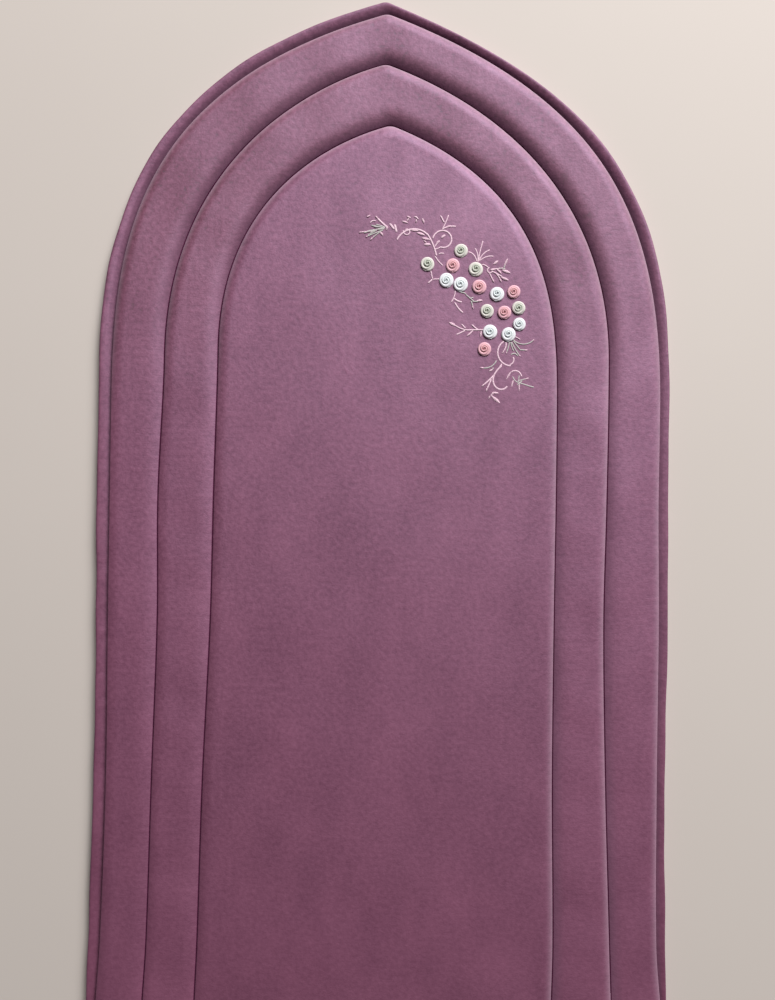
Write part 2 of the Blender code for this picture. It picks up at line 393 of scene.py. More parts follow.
EDGE = SewnLine(
    point=(-0.002, RUG.length / 2),
    foot_y=-RUG.length / 2,
    corner_high=RUG.edge_corner,
    corner_wide=RUG.edge_corner,
    left=LineSide((0.3190, 0.195), 0.218, 0.225, 15.6, (0.3200, 0.3192, 0.3200, 0.3238, RUG.width / 2)),
    right=LineSide((0.3205, 0.177), 0.258, 0.215, 22.3, (0.3206, 0.3220, 0.3206, 0.3235, RUG.width / 2)),
)
FIRST_SEAM = SewnLine(
    point=(0.0, 0.5854),
    foot_y=RUG.foot_seam_y,
    corner_high=RUG.seam_corner,
    corner_wide=RUG.seam_corner,
    left=LineSide((0.3028, 0.147), 0.155, 0.313, 16.1, (0.3031, 0.3035, 0.3035, 0.3080, 0.3129)),
    right=LineSide((0.3084, 0.154), 0.202, 0.270, 20.4, (0.3079, 0.3097, 0.3095, 0.3112, 0.3180)),
)
SECOND_SEAM = SewnLine(
    point=(-0.001, 0.5291),
    foot_y=RUG.foot_seam_y,
    corner_high=RUG.seam_corner,
    corner_wide=0.0,
    left=LineSide((0.2437, 0.200), 0.256, 0.033, 14.6, (0.2488, 0.2479, 0.2523, 0.2562, 0.2606)),
    right=LineSide((0.2509, 0.198), 0.212, 0.098, 19.4, (0.2498, 0.2479, 0.2520, 0.2587, 0.2617)),
)
THIRD_SEAM = SewnLine(
    point=(0.005, 0.4609),
    foot_y=RUG.foot_seam_y,
    corner_high=RUG.seam_corner,
    corner_wide=0.0,
    left=LineSide((0.1841, 0.209), 0.182, 0.056, 15.2, (0.1870, 0.1889, 0.1956, 0.1995, 0.2025)),
    right=LineSide((0.1935, 0.144), 0.104, 0.200, 20.7, (0.1934, 0.1927, 0.1928, 0.1956, 0.1940)),
)


# ---------------------------------------------------------------------------------------------------
# Shape of the pads
# ---------------------------------------------------------------------------------------------------


@dataclass(frozen=True)
class Shoulder:
    """How a pad comes up from its seam: a small round lip up to a step, then a soft rise to its crown."""

    reach: float
    step: float = 0.22
    softness: float = 2.3
    lip: float = 0.0012

    def rise(self, away: np.ndarray) -> np.ndarray:
        """How far the pad has risen.

        Args:
            away: How far each place is from the seam.

        Returns:
            The rise, from 0 at the seam to 1 at the crown.
        """
        soft = 1 - np.clip(away / self.reach, 0.0, 1.0)
        rise = 1 - (1 - self.step) * soft**self.softness
        if self.step > 0:
            lip = 1 - np.clip(away / self.lip, 0.0, 1.0)
            rise = rise * np.sqrt(1 - lip**2)
        return rise


RIM = Shoulder(0.014)
SLOPE = Shoulder(0.025, step=0.0, softness=3.4)
CLEAR_OF_SEAMS = 10 * RIM.reach


def drawn(height: np.ndarray) -> np.ndarray:
    """How hard the stitches pull a seam down at each height: less along the legs than in the arch."""
    share = np.clip((height - RUG.leg_draw_y) / (RUG.arch_draw_y - RUG.leg_draw_y), 0.0, 1.0)
    return mix(RUG.leg_draw, 1.0, eased(share))


def pad_height(plan: np.ndarray, crown_z: Number, rise: np.ndarray) -> np.ndarray:
    """Height of a pad's top, from its crown's height and from how far it has risen at each place."""
    return crown_z - (crown_z - RUG.seam_z) * drawn(plan[..., 1]) * (1 - rise)


@dataclass(frozen=True)
class Waves:
    """A few soft waves that cross at odd angles, for foam and cloth that lie a little unevenly."""

    length: float
    height: float
    seed: int
    count: int = 6
    spread: Point = (0.7, 1.5)

    def at(self, x: np.ndarray, y: np.ndarray) -> np.ndarray:
        """Height of the waves.

        Args:
            x: X of each place.
            y: Y of each place.

        Returns:
            The height at each place.
        """
        draw = np.random.default_rng(self.seed)
        total = np.zeros_like(x)
        for _ in range(self.count):
            angle, phase = draw.uniform(0, 2 * math.pi, 2)
            pitch = self.length * draw.uniform(*self.spread)
            along = x * math.cos(angle) + y * math.sin(angle)
            total += np.sin(2 * math.pi * along / pitch + phase)
        return total * self.height / math.sqrt(self.count)


@dataclass(frozen=True)
class Puckers:
    """Small gathers that the stitches pull into the velvet, square to a seam and dying out away from it."""

    height: float = 0.00022
    start: float = 0.002
    fade: float = 0.012
    pitches: tuple[float, ...] = (0.0105, 0.0163, 0.0290)
    seed: int = 5

    def at(self, along: np.ndarray, away: np.ndarray) -> np.ndarray:
        """Height of the gathers.

        Args:
            along: How far along the seam each place is.
            away: How far from the seam each place is.

        Returns:
            The height at each place.
        """
        draw = np.random.default_rng(self.seed)
        phases = draw.uniform(0, 2 * math.pi, len(self.pitches))
        total = sum(np.sin(2 * math.pi * along / p + f) for p, f in zip(self.pitches, phases))
        rise = np.clip(away / self.start, 0, 1)
        return total * self.height / len(self.pitches) * rise * np.exp(-away / self.fade)


# ---------------------------------------------------------------------------------------------------
# Mesh drafting
# ---------------------------------------------------------------------------------------------------


@dataclass
class Draft:
    """Points and faces of one piece, gathered before its mesh is made."""

    points: list[np.ndarray] = field(default_factory=list)
    faces: list[tuple[int, ...]] = field(default_factory=list)
    places: list[np.ndarray] = field(default_factory=list)
    count: int = 0

    def add(self, points: np.ndarray, places: np.ndarray | None = None) -> np.ndarray:
        """Adds points.

        Args:
            points: Coordinates, in an array whose last axis is X, Y and Z.
            places: Where each point lies along and across its ribbon or thread, for the UV map.

        Returns:
            The points' numbers, in an array of the same form.
        """
        shape = points.shape[:-1]
        total = int(np.prod(shape))
        self.points.append(points.reshape(-1, 3))
        self.places.append(np.zeros((total, 2)) if places is None else places.reshape(-1, 2))
        numbers = np.arange(self.count, self.count + total).reshape(shape)
        self.count += total
        return numbers

    def weave(self, grid: np.ndarray, wrap: bool = False) -> None:
        """Fills a grid of point numbers with four-sided faces.

        Args:
            grid: The point numbers, in rows and columns.
            wrap: Whether the last column meets the first.
        """
        if wrap:
            grid = np.hstack((grid, grid[:, :1]))
        corners = (grid[:-1, :-1], grid[1:, :-1], grid[1:, 1:], grid[:-1, 1:])
        self.faces.extend(map(tuple, np.stack(corners, axis=-1).reshape(-1, 4).tolist()))

    def fill(self, ring: np.ndarray) -> None:
        """Closes a ring of point numbers with one face."""
        self.faces.append(tuple(int(n) for n in ring))

    def to_object(self, name: str, material: Material, sharp: float = 60.0) -> bpy.types.Object:
        """Makes the piece.

        Args:
            name: Name of the piece.
            material: Its finish.
            sharp: Edges over this angle stay sharp.

        Returns:
            The new object, linked to the scene.
        """
        mesh = bpy.data.meshes.new(name)
        mesh.from_pydata(np.vstack(self.points).tolist(), [], self.faces)
        layer = mesh.uv_layers.new(name="lay")
        corner_points = np.empty(len(mesh.loops), dtype=np.int32)
        mesh.loops.foreach_get("vertex_index", corner_points)
        layer.data.foreach_set("uv", np.vstack(self.places)[corner_points].astype(np.float32).ravel())
        mesh.shade_smooth()
        mesh.set_sharp_from_angle(angle=math.radians(sharp))
        mesh.materials.append(material)
        piece = bpy.data.objects.new(name, mesh)
        bpy.context.scene.collection.objects.link(piece)
        return piece

    def shade_seam_faces(self, piece: bpy.types.Object, material: Material) -> None:
        """Gives the faces close to a seam the painted seam shade, read from how far across each point lies.

        Args:
            piece: The piece made from this draft.
            material: The painted seam shade for the faces.
        """
        across = np.vstack(self.places)
        near = []
        for face in self.faces:
            from_rim, from_seam = across[list(face)].max(axis=0)
            # How far from the seam the painted seam shade reaches, wider at the foot of a slope than at a
            # rim.
            crease_shade = RUG.slope_crease_shade if from_rim > 2 * RUG.slope_crease_shade else RUG.rim_crease_shade
            near.append(from_seam <= crease_shade)
        piece.data.materials.append(material)
        piece.data.polygons.foreach_set("material_index", np.array(near, dtype=np.int32))


def enter(piece: bpy.types.Object, node: str | None = None) -> None:
    """Attaches a piece to the rug's body and hides the CAD node that it stands for.

    Args:
        piece: The piece.
        node: The CAD node that it stands for.
    """
    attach(piece, BODY)
    if node is not None:
        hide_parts(node)
    LOG.info("%s: %d faces", piece.name, len(piece.data.polygons))


# ---------------------------------------------------------------------------------------------------
# Node groups
# ---------------------------------------------------------------------------------------------------


class Nodes:
    """Adds nodes to one node tree and links them."""

    def __init__(self, tree: bpy.types.NodeTree) -> None:
        """Starts on a tree."""
        self.tree = tree

    def feed(self, socket: Socket, value: Feed) -> None:
        """Gives an input socket its value, or links it to the socket that feeds it.

        Args:
            socket: The input socket.
            value: A number, a colour or another socket.
        """
        if isinstance(value, Socket):
            self.tree.links.new(value, socket)
        else:
            socket.default_value = value

    def add(self, kind: str, inputs: Inputs | None = None, **settings: object) -> bpy.types.Node:
        """Adds a node.

        Args:
            kind: Name of the node's type.
            inputs: Sockets by name or number, each with a value or with the socket that feeds it.
            **settings: The node's own settings.

        Returns:
            The node.
        """
        node = self.tree.nodes.new(kind)
        for name, value in settings.items():
            setattr(node, name, value)
        for name, value in (inputs or {}).items():
            self.feed(node.inputs[name], value)
        return node

    def group(self, group: bpy.types.NodeTree, inputs: Inputs) -> bpy.types.NodeOutputs:
        """The outputs of a node group that is placed with its own values."""
        return self.add("ShaderNodeGroup", inputs, node_tree=group).outputs

    def math(self, operation: str, first: Feed, second: Feed) -> Socket:
        """The result of a sum on two numbers."""
        return self.add("ShaderNodeMath", {0: first, 1: second}, operation=operation).outputs[0]

    def plus(self, first: Feed, second: Feed) -> Socket:
        """Two numbers added."""
        return self.math("ADD", first, second)

    def minus(self, first: Feed, second: Feed) -> Socket:
        """The second number taken from the first."""
        return self.math("SUBTRACT", first, second)

    def times(self, first: Feed, second: Feed) -> Socket:
        """Two numbers multiplied."""
        return self.math("MULTIPLY", first, second)

    def vectors(self, operation: str, first: Feed, second: Feed) -> Socket:
        """The result of a sum on two vectors or colours."""
        return self.add("ShaderNodeVectorMath", {0: first, 1: second}, operation=operation).outputs[0]

    def ramp(self, value: Feed, span: Point, result: Point = (0.0, 1.0), smooth: bool = False) -> Socket:
        """A number that goes through the result as a value goes through its span.

        Args:
            value: The value.
            span: Where the value starts and ends.
            result: Where the number starts and ends.
            smooth: Whether it starts and ends slowly.

        Returns:
            The number's socket.
        """
        ends = {"From Min": span[0], "From Max": span[1], "To Min": result[0], "To Max": result[1]}
        kind = "SMOOTHSTEP" if smooth else "LINEAR"
        return self.add("ShaderNodeMapRange", {"Value": value, **ends}, interpolation_type=kind).outputs[0]

    def fading(self, away: Feed, reach: float, power: float) -> Socket:
        """A mask that falls from 1 to 0 over a reach, faster at first where its power is higher."""
        return self.math("POWER", self.ramp(away, (0.0, reach), (1.0, 0.0)), power)

    def noise(self, place: Feed, scale: float, detail: float = 2.0, rough: float = 0.5) -> Socket:
        """A noise that runs from about 0 to 1."""
        inputs = {"Vector": place, "Scale": scale, "Detail": detail, "Roughness": rough}
        return self.add("ShaderNodeTexNoise", inputs).outputs["Fac"]

    def stretch(self, place: Feed, scale: tuple[float, float, float]) -> Socket:
        """Coordinates stretched by a scale along each axis."""
        return self.add("ShaderNodeMapping", {"Vector": place, "Scale": scale}).outputs["Vector"]

    def object_place(self) -> Socket:
        """Where each spot of the surface is on the rug."""
        return self.add("ShaderNodeTexCoord").outputs["Object"]

    def lay(self) -> Socket:
        """Where each spot lies along and across its ribbon, thread or pad."""
        return self.add("ShaderNodeUVMap", uv_map="lay").outputs[0]

    def split(self, vector: Feed) -> bpy.types.NodeOutputs:
        """The X, Y and Z of a vector."""
        return self.add("ShaderNodeSeparateXYZ", {0: vector}).outputs

    def blend(self, share: Feed, first: Socket | Colour, second: Socket | Colour) -> Socket:
        """Mixes two colours.

        Args:
            share: How much of the second colour there is, from 0 to 1.
            first: A colour or its socket.
            second: A colour or its socket.

        Returns:
            The mixed colour's socket.
        """
        first, second = ((*part, 1) if isinstance(part, tuple) else part for part in (first, second))
        inputs = {"Factor": share, 6: first, 7: second}
        return self.add("ShaderNodeMix", inputs, data_type="RGBA").outputs[2]

    def bump(self, height: Feed, strength: float, distance: float) -> Socket:
        """A normal that follows a height."""
        inputs = {"Height": height, "Strength": strength, "Distance": distance}
        return self.add("ShaderNodeBump", inputs).outputs[0]


def new_group(name: str, inputs: dict[str, float], outputs: tuple[str, ...]) -> tuple[Nodes, dict, dict]:
    """Starts a shader node group.

    Args:
        name: Name of the group.
        inputs: Its number inputs, with their usual values. It also gets a Vector input.
        outputs: Its number outputs.

    Returns:
        Its nodes, the sockets that its inputs feed and the sockets that its outputs read.
    """
    tree = bpy.data.node_groups.new(name, "ShaderNodeTree")
    tree.interface.new_socket("Vector", in_out="INPUT", socket_type="NodeSocketVector")
    for key, value in inputs.items():
        tree.interface.new_socket(key, in_out="INPUT", socket_type="NodeSocketFloat").default_value = value
    for key in outputs:
        tree.interface.new_socket(key, in_out="OUTPUT", socket_type="NodeSocketFloat")
    nodes = Nodes(tree)
    start = nodes.add("NodeGroupInput")
    end = nodes.add("NodeGroupOutput")
    return nodes, start.outputs, end.inputs


@dataclass
class Effects:
    """The effects that several finishes share, each a node group that is made once.

    Attributes:
        speckle_scale: Tightness of the pile's fine speckle.
        tuft_scale: Tightness of its coarser tufts.
        rib_stretch: Tightness of its rows along each axis.
        speckle_gain: Strength of the fine speckle.
        tuft_gain: Strength of the tufts.
        drift_stretch: How the slow changes are drawn out along each axis.
        drifts: Name, tightness and shift of each slow change.
        pile: The group of the velvet's pile.
        drift: The group of its slow changes.
        strands: The group of the filaments of ribbon and thread.
    """

    speckle_scale: float = 620.0
    tuft_scale: float = 210.0
    rib_stretch: tuple[float, float, float] = (85.0, 560.0, 85.0)
    speckle_gain: float = 1.8
    tuft_gain: float = 2.4
    drift_stretch: tuple[float, float, float] = (1.0, 0.55, 1.0)
    drifts: tuple[tuple[str, float, float], ...] = (("Stroke", 24.0, 0.0), ("Dye", 9.0, 4.7))
    pile: bpy.types.NodeTree = field(init=False)
    drift: bpy.types.NodeTree = field(init=False)
    strands: bpy.types.NodeTree = field(init=False)

    def __post_init__(self) -> None:
        """Makes the groups."""
        self.pile = self._pile()
        self.drift = self._drift()
        self.strands = self._strands()

    def _pile(self) -> bpy.types.NodeTree:
        """Makes short dense velvet pile: fine speckle, tufts and the faint ribs of its rows.

        Returns:
            The group.
        """
        nodes, given, wanted = new_group("velvet_pile", {"Rib": 0.5, "Speckle": 0.5}, ("Tone", "Height"))
        place = given["Vector"]
        fine = nodes.noise(place, self.speckle_scale, detail=3.0, rough=0.6)
        tufts = nodes.noise(place, self.tuft_scale)
        ribs = nodes.noise(nodes.stretch(place, self.rib_stretch), 1.0, detail=1.0)
        fine = nodes.times(nodes.minus(fine, 0.5), self.speckle_gain)
        tufts = nodes.times(nodes.minus(tufts, 0.5), self.tuft_gain)
        speckle = nodes.times(nodes.plus(fine, tufts), given["Speckle"])
        tone = nodes.plus(speckle, nodes.times(nodes.minus(ribs, 0.5), given["Rib"]))
        nodes.feed(wanted["Tone"], tone)
        nodes.feed(wanted["Height"], nodes.plus(tone, 0.5))
        return nodes.tree

    def _drift(self) -> bpy.types.NodeTree:
        """Makes the slow changes: where the pile was stroked another way, and where the dye took deeper.

        Returns:
            The group.
        """
        outputs = tuple(key for key, _, _ in self.drifts)
        nodes, given, wanted = new_group("pile_drift", {"Contrast": 2.0}, outputs)
        for key, scale, shift in self.drifts:
            moved = nodes.vectors("ADD", given["Vector"], (shift, shift, 0.0))
            patches = nodes.noise(nodes.stretch(moved, self.drift_stretch), scale, detail=3.0)
            spread = nodes.times(nodes.minus(patches, 0.5), given["Contrast"])
            centred = nodes.add("ShaderNodeMath", {0: spread, 1: 0.5}, operation="ADD", use_clamp=True)
            nodes.feed(wanted[key], centred.outputs[0])
        return nodes.tree

    @staticmethod
    def _strands() -> bpy.types.NodeTree:
        """Makes fine parallel filaments along a ribbon or thread, read from its UV map.

        Returns:
            The group.
        """
        scales = {"Along": 400.0, "Across": 9000.0}
        nodes, given, wanted = new_group("satin_strands", scales, ("Tone", "Height"))
        parts = nodes.split(given["Vector"])
        along = nodes.times(parts[0], given["Along"])
        across = nodes.times(parts[1], given["Across"])
        laid = nodes.add("ShaderNodeCombineXYZ", {0: along, 1: across}).outputs[0]
        strands = nodes.noise(laid, 1.0, rough=0.6)
        nodes.feed(wanted["Tone"], strands)
        nodes.feed(wanted["Height"], strands)
        return nodes.tree


# ---------------------------------------------------------------------------------------------------
# Finishes
# ---------------------------------------------------------------------------------------------------


class Surface:
    """A new material with its nodes and its Principled shader."""

    def __init__(self, name: str) -> None:
        """Makes the material.

        Args:
            name: Name of the material.
        """
        self.material = bpy.data.materials.new(name)
        self.material.use_nodes = True
        self.nodes = Nodes(self.material.node_tree)
        self.shader = self.material.node_tree.nodes["Principled BSDF"]

    def apply(self, values: Inputs) -> None:
        """Gives sockets of the shader their values, or the sockets that feed them."""
        for name, value in values.items():
            self.nodes.feed(self.shader.inputs[name], value)


@dataclass(frozen=True)
class VelvetFinish:
    """Plum velvet with a short dense pile, painted highlights on its rims and painted shade on its slopes
    and arch.

    Attributes:
        name: Name of the material.
        deep: Colour where the dye took deepest.
        worn: Colour where it took least.
        light: What full grain and a full stroke of the pile add to the colour.
        rim: Colour of the painted highlight along a pad's rim, next to its seam.
        rim_highlight_gain: Strength of that highlight, and rim_reach and rim_fade say how it dies out from
            the seam.
        slope_shade: Colour of the painted shade at the foot of a pad's slope, next to its seam.
        slope_shade_gain: Its strength; slope_shade_reach and slope_shade_fade say how it dies out from the
            seam.
        slope_shade_matt: How much rougher the velvet is under that painted shade.
        slope_start: How far past its rim a slope begins to take that painted shade.
        arch: Colour of the painted shade that darkens the cloth in the arch, by the share arch_shade.
        right_leg_painted_light: How much of the arch's painted rim highlight and slope shade the right leg
            gets.
        right_x: Where across the rug that share sets in.
        grain: Strength of the pile's grain in the colour.
        grain_y: Where up the rug the grain changes, by the factors grain_by.
        stroked: Strength of the slow strokes in the colour.
        stroke_gloss: How much smoother the pile is where it was stroked.
        rib: Strength of the pile's rows.
        speckle: Strength of its speckle and tufts.
        relief: Height of the pile's bumps, and relief_strength says how strong they are.
        roughness: Roughness of the velvet halfway between stroked and not.
        gloss: Tint of the gloss, and gloss_level and gloss_ior say how strong it is.
        sheen: Tint of the sheen, and sheen_weight and sheen_roughness say how strong and soft it is.
    """

    name: str
    deep: Colour = (0.156, 0.024, 0.060)
    worn: Colour = (0.176, 0.031, 0.072)
    light: Colour = (0.25, 0.11, 0.17)
    # Painted highlight along the rims, next to the seam.
    rim: Colour = (0.38, 0.36, 0.41)
    rim_highlight_gain: float = 0.80
    rim_reach: float = 0.010
    rim_fade: float = 2.0
    # Painted shade at the foot of the slopes, next to the seam.
    slope_shade: Colour = (0.050, 0.006, 0.018)
    slope_shade_gain: float = 0.85
    slope_shade_reach: float = 0.014
    slope_shade_fade: float = 1.5
    slope_shade_matt: float = 0.34
    slope_start: float = 0.004
    # Painted shade in the arch.
    arch: Colour = (0.130, 0.008, 0.022)
    arch_shade: float = 0.0
    # How much of the painted rim highlight and slope shade reaches down the right leg.
    right_leg_painted_light: float = 0.55
    right_x: Point = (0.05, 0.18)
    grain: float = 0.22
    grain_y: Point = (-0.45, 0.45)
    grain_by: Point = (0.7, 1.9)
    stroked: float = 0.28
    stroke_gloss: float = 0.06
    rib: float = 0.6
    speckle: float = 1.0
    relief: float = 0.00010
    relief_strength: float = 0.8
    roughness: float = 0.67
    gloss: Colour = (0.88, 0.70, 0.98)
    gloss_level: float = 1.0
    gloss_ior: float = 1.95
    sheen: Colour = (0.95, 0.75, 1.0)
    sheen_weight: float = 0.12
    sheen_roughness: float = 0.30

    def _painted_light_share(self, nodes: Nodes, across_rug: Socket, pull: Socket) -> Socket:
        """Share of painted rim highlight and slope shade: in full in the arch, and less down the right leg.

        Args:
            nodes: The material's nodes.
            across_rug: X on the rug.
            pull: How far up in the arch each spot is, from 0 to 1.

        Returns:
            The share's socket.
        """
        right = nodes.ramp(across_rug, self.right_x, smooth=True)
        on_right_leg = nodes.times(right, nodes.minus(1.0, pull))
        return nodes.plus(pull, nodes.times(on_right_leg, self.right_leg_painted_light))

    def _slope_shade_mask(self, nodes: Nodes, lay: bpy.types.NodeOutputs, painted_light_share: Socket) -> Socket:
        """How much painted shade lies at the foot of a pad's slope.

        Args:
            nodes: The material's nodes.
            lay: How far each spot is from its rim's seam, and from the nearer seam.
            painted_light_share: How much of the painted highlight and shade is laid on.

        Returns:
            The share's socket.
        """
        on_slope = nodes.ramp(nodes.minus(lay[0], lay[1]), (0.0, self.slope_start))
        near_seam = nodes.fading(lay[1], self.slope_shade_reach, self.slope_shade_fade)
        return nodes.times(nodes.times(near_seam, on_slope), painted_light_share)

    def build(self, effects: Effects) -> Material:
        """Makes the material.

        Args:
            effects: The shared node groups.

        Returns:
            The material.
        """
        surface = Surface(self.name)
        nodes = surface.nodes
        place = nodes.object_place()
        across_rug, up_rug, _ = nodes.split(place)
        lay = nodes.split(nodes.lay())
        pile = nodes.group(effects.pile, {"Vector": place, "Rib": self.rib, "Speckle": self.speckle})
        drift = nodes.group(effects.drift, {"Vector": place})
        pull = nodes.ramp(up_rug, (RUG.leg_draw_y, RUG.arch_draw_y), smooth=True)
        # Share of the painted rim highlight and slope shade: full in the arch, part of it down the right
        # leg.
        painted_light_share = self._painted_light_share(nodes, across_rug, pull)
        slope_shade_mask = self._slope_shade_mask(nodes, lay, painted_light_share)
        grain_by = nodes.ramp(up_rug, self.grain_y, self.grain_by)
        grain = nodes.times(nodes.times(pile["Tone"], self.grain), grain_by)
        stroke = nodes.times(nodes.minus(drift["Stroke"], 0.5), self.stroked)
        # Mask of the painted highlight along each rim, next to its seam.
        rim_highlight_mask = nodes.times(nodes.fading(lay[0], self.rim_reach, self.rim_fade), self.rim_highlight_gain)
        colour = nodes.blend(drift["Dye"], self.deep, self.worn)
        # Painted shade that darkens the cloth up in the arch.
        colour = nodes.blend(nodes.times(pull, self.arch_shade), colour, self.arch)
        # Adds the pile's grain and strokes, then the painted rim highlight.
        for tint, gain in ((self.light, nodes.plus(grain, stroke)), (self.rim, nodes.times(rim_highlight_mask, painted_light_share))):
            colour = nodes.vectors("ADD", colour, nodes.vectors("MULTIPLY", tint, gain))
        # Painted shade at the foot of each slope, next to the seam; the velvet is also made rougher there.
        colour = nodes.blend(nodes.times(slope_shade_mask, self.slope_shade_gain), colour, self.slope_shade)
        smoothed = nodes.times(drift["Stroke"], -self.stroke_gloss)
        rough = nodes.plus(smoothed, self.roughness + self.stroke_gloss / 2)
        surface.apply({
            "Base Color": colour,
            "Roughness": nodes.plus(rough, nodes.times(slope_shade_mask, self.slope_shade_matt)),
            "Normal": nodes.bump(pile["Height"], self.relief_strength, self.relief),
            "Specular IOR Level": self.gloss_level,
            "Specular Tint": (*self.gloss, 1),
            "IOR": self.gloss_ior,
            "Sheen Weight": self.sheen_weight,
            "Sheen Roughness": self.sheen_roughness,
            "Sheen Tint": (*self.sheen, 1),
        })
        return surface.material


@dataclass(frozen=True)
class CreaseShadeFinish:
    """Painted seam shade: velvet on the faces down in a seam, darker, matt and without gloss."""

    name: str = "crease_shade_velvet"
    # Colours of the painted seam shade, blended by the pile's height.
    colour: Colour = (0.100, 0.020, 0.058)
    shade: Colour = (0.070, 0.013, 0.040)
    roughness: float = 0.95

    def build(self, effects: Effects) -> Material:
        """Makes the material.

        Args:
            effects: The shared node groups.

        Returns:
            The material.
        """
        surface = Surface(self.name)
        nodes = surface.nodes
        pile = nodes.group(effects.pile, {"Vector": nodes.object_place()})
        cloth = nodes.blend(pile["Height"], self.shade, self.colour)
        surface.apply({"Base Color": cloth, "Roughness": self.roughness, "Specular IOR Level": 0.0})
        return surface.material


@dataclass(frozen=True)
class Satin:
    """The fine filaments that give a thread or ribbon its silky face.

    Attributes:
        along: Tightness of the filaments' changes along them.
        across: Tightness of the filaments side by side.
        roughness: Roughness of the face.
        spread: How much rougher a pale filament is than a dark one.
        relief: Height of the filaments.
        relief_strength: Strength of that height.
        gloss_level: Specular level.
        sheen_weight: Weight of the soft sheen.
        sheen_roughness: Roughness of the soft sheen.
    """

    along: float
    across: float
    roughness: float
    spread: float
    relief: float
    relief_strength: float
    gloss_level: float
    sheen_weight: float = 0.30
    sheen_roughness: float = 0.40

    def dress(self, surface: Surface, effects: Effects, lay: Socket) -> Socket:
        """Gives a surface its filaments.

        Args:
            surface: The surface.
            effects: The shared node groups.
            lay: Where each spot lies along and across.

        Returns:
            How pale the filament is at each spot.
        """
        nodes = surface.nodes
        strands = nodes.group(effects.strands, {"Vector": lay, "Along": self.along, "Across": self.across})
        rough = nodes.plus(nodes.times(strands["Tone"], self.spread), self.roughness - self.spread / 2)
        surface.apply({
            "Roughness": rough,
            "Normal": nodes.bump(strands["Height"], self.relief_strength, self.relief),
            "Specular IOR Level": self.gloss_level,
            "Sheen Weight": self.sheen_weight,
            "Sheen Roughness": self.sheen_roughness,
        })
        return strands["Tone"]


THREAD_SATIN = Satin(
    along=400.0, across=9000.0, roughness=0.40, spread=-0.1,
    relief=0.00012, relief_strength=0.6, gloss_level=0.6,
)
RIBBON_SATIN = Satin(
    along=60.0, across=14.0, roughness=0.42, spread=0.1,
    relief=0.00010, relief_strength=0.5, gloss_level=0.5,
)


@dataclass(frozen=True)
class ThreadFinish:
    """Silky embroidery thread, with its filaments along it."""

    name: str
    colour: Colour
    shade: Colour
    satin: Satin = THREAD_SATIN

    def build(self, effects: Effects) -> Material:
        """Makes the material.

        Args:
            effects: The shared node groups.

        Returns:
            The material.
        """
        surface = Surface(self.name)
        tone = self.satin.dress(surface, effects, surface.nodes.lay())
        surface.apply({"Base Color": surface.nodes.blend(tone, self.shade, self.colour)})
        return surface.material


@dataclass(frozen=True)
class RibbonFinish:
    """Satin ribbon wound into a rose: pale outer lip, fuller heart, painted shade down in its folds.

    Attributes:
        name: Name of the material.
        lip: Colour of the outer turn.
        heart: Colour of the inner turns.
        crease_shade: Colour of the painted shade low between the inner turns.
        inward: Where along the ribbon, from 0 to 1, the outer turn goes over into the inner turns.
        raised: Where up the ribbon, from 0 to 1, the painted shade goes over into the heart.
        satin: Its filaments.
    """

    name: str
    lip: Colour
    heart: Colour
    crease_shade: Colour
    inward: Point = (0.30, 0.46)
    raised: Point = (0.10, 0.92)
    satin: Satin = RIBBON_SATIN

    def build(self, effects: Effects) -> Material:
        """Makes the material.

        Args:
            effects: The shared node groups.

        Returns:
            The material.
        """
        surface = Surface(self.name)
        nodes = surface.nodes
        lay = nodes.lay()
        along, up, _ = nodes.split(lay)
        # Painted shade low down between the turns, going over into the heart colour higher up.
        inner = nodes.blend(nodes.ramp(up, self.raised, smooth=True), self.crease_shade, self.heart)
        colour = nodes.blend(nodes.ramp(along, self.inward, smooth=True), self.lip, inner)
        self.satin.dress(surface, effects, lay)
        surface.apply({"Base Color": colour})
        return surface.material


@dataclass(frozen=True)
class FloorFinish:
    """A plain pale floor with a faint unevenness."""

    pale: Colour = (0.66, 0.600, 0.560)
    shade: Colour = (0.63, 0.570, 0.530)
    patch_scale: float = 3.0
    roughness: float = 0.7

    def build(self) -> Material:
        """Makes the material.

        Returns:
            The material.
        """
        surface = Surface("pale_floor")
        nodes = surface.nodes
        patches = nodes.noise(nodes.object_place(), self.patch_scale, detail=3.0)
        colour = nodes.blend(patches, self.shade, self.pale)
        surface.apply({"Base Color": colour, "Roughness": self.roughness})
        return surface.material


# ---------------------------------------------------------------------------------------------------
# Velvet pieces
# ---------------------------------------------------------------------------------------------------


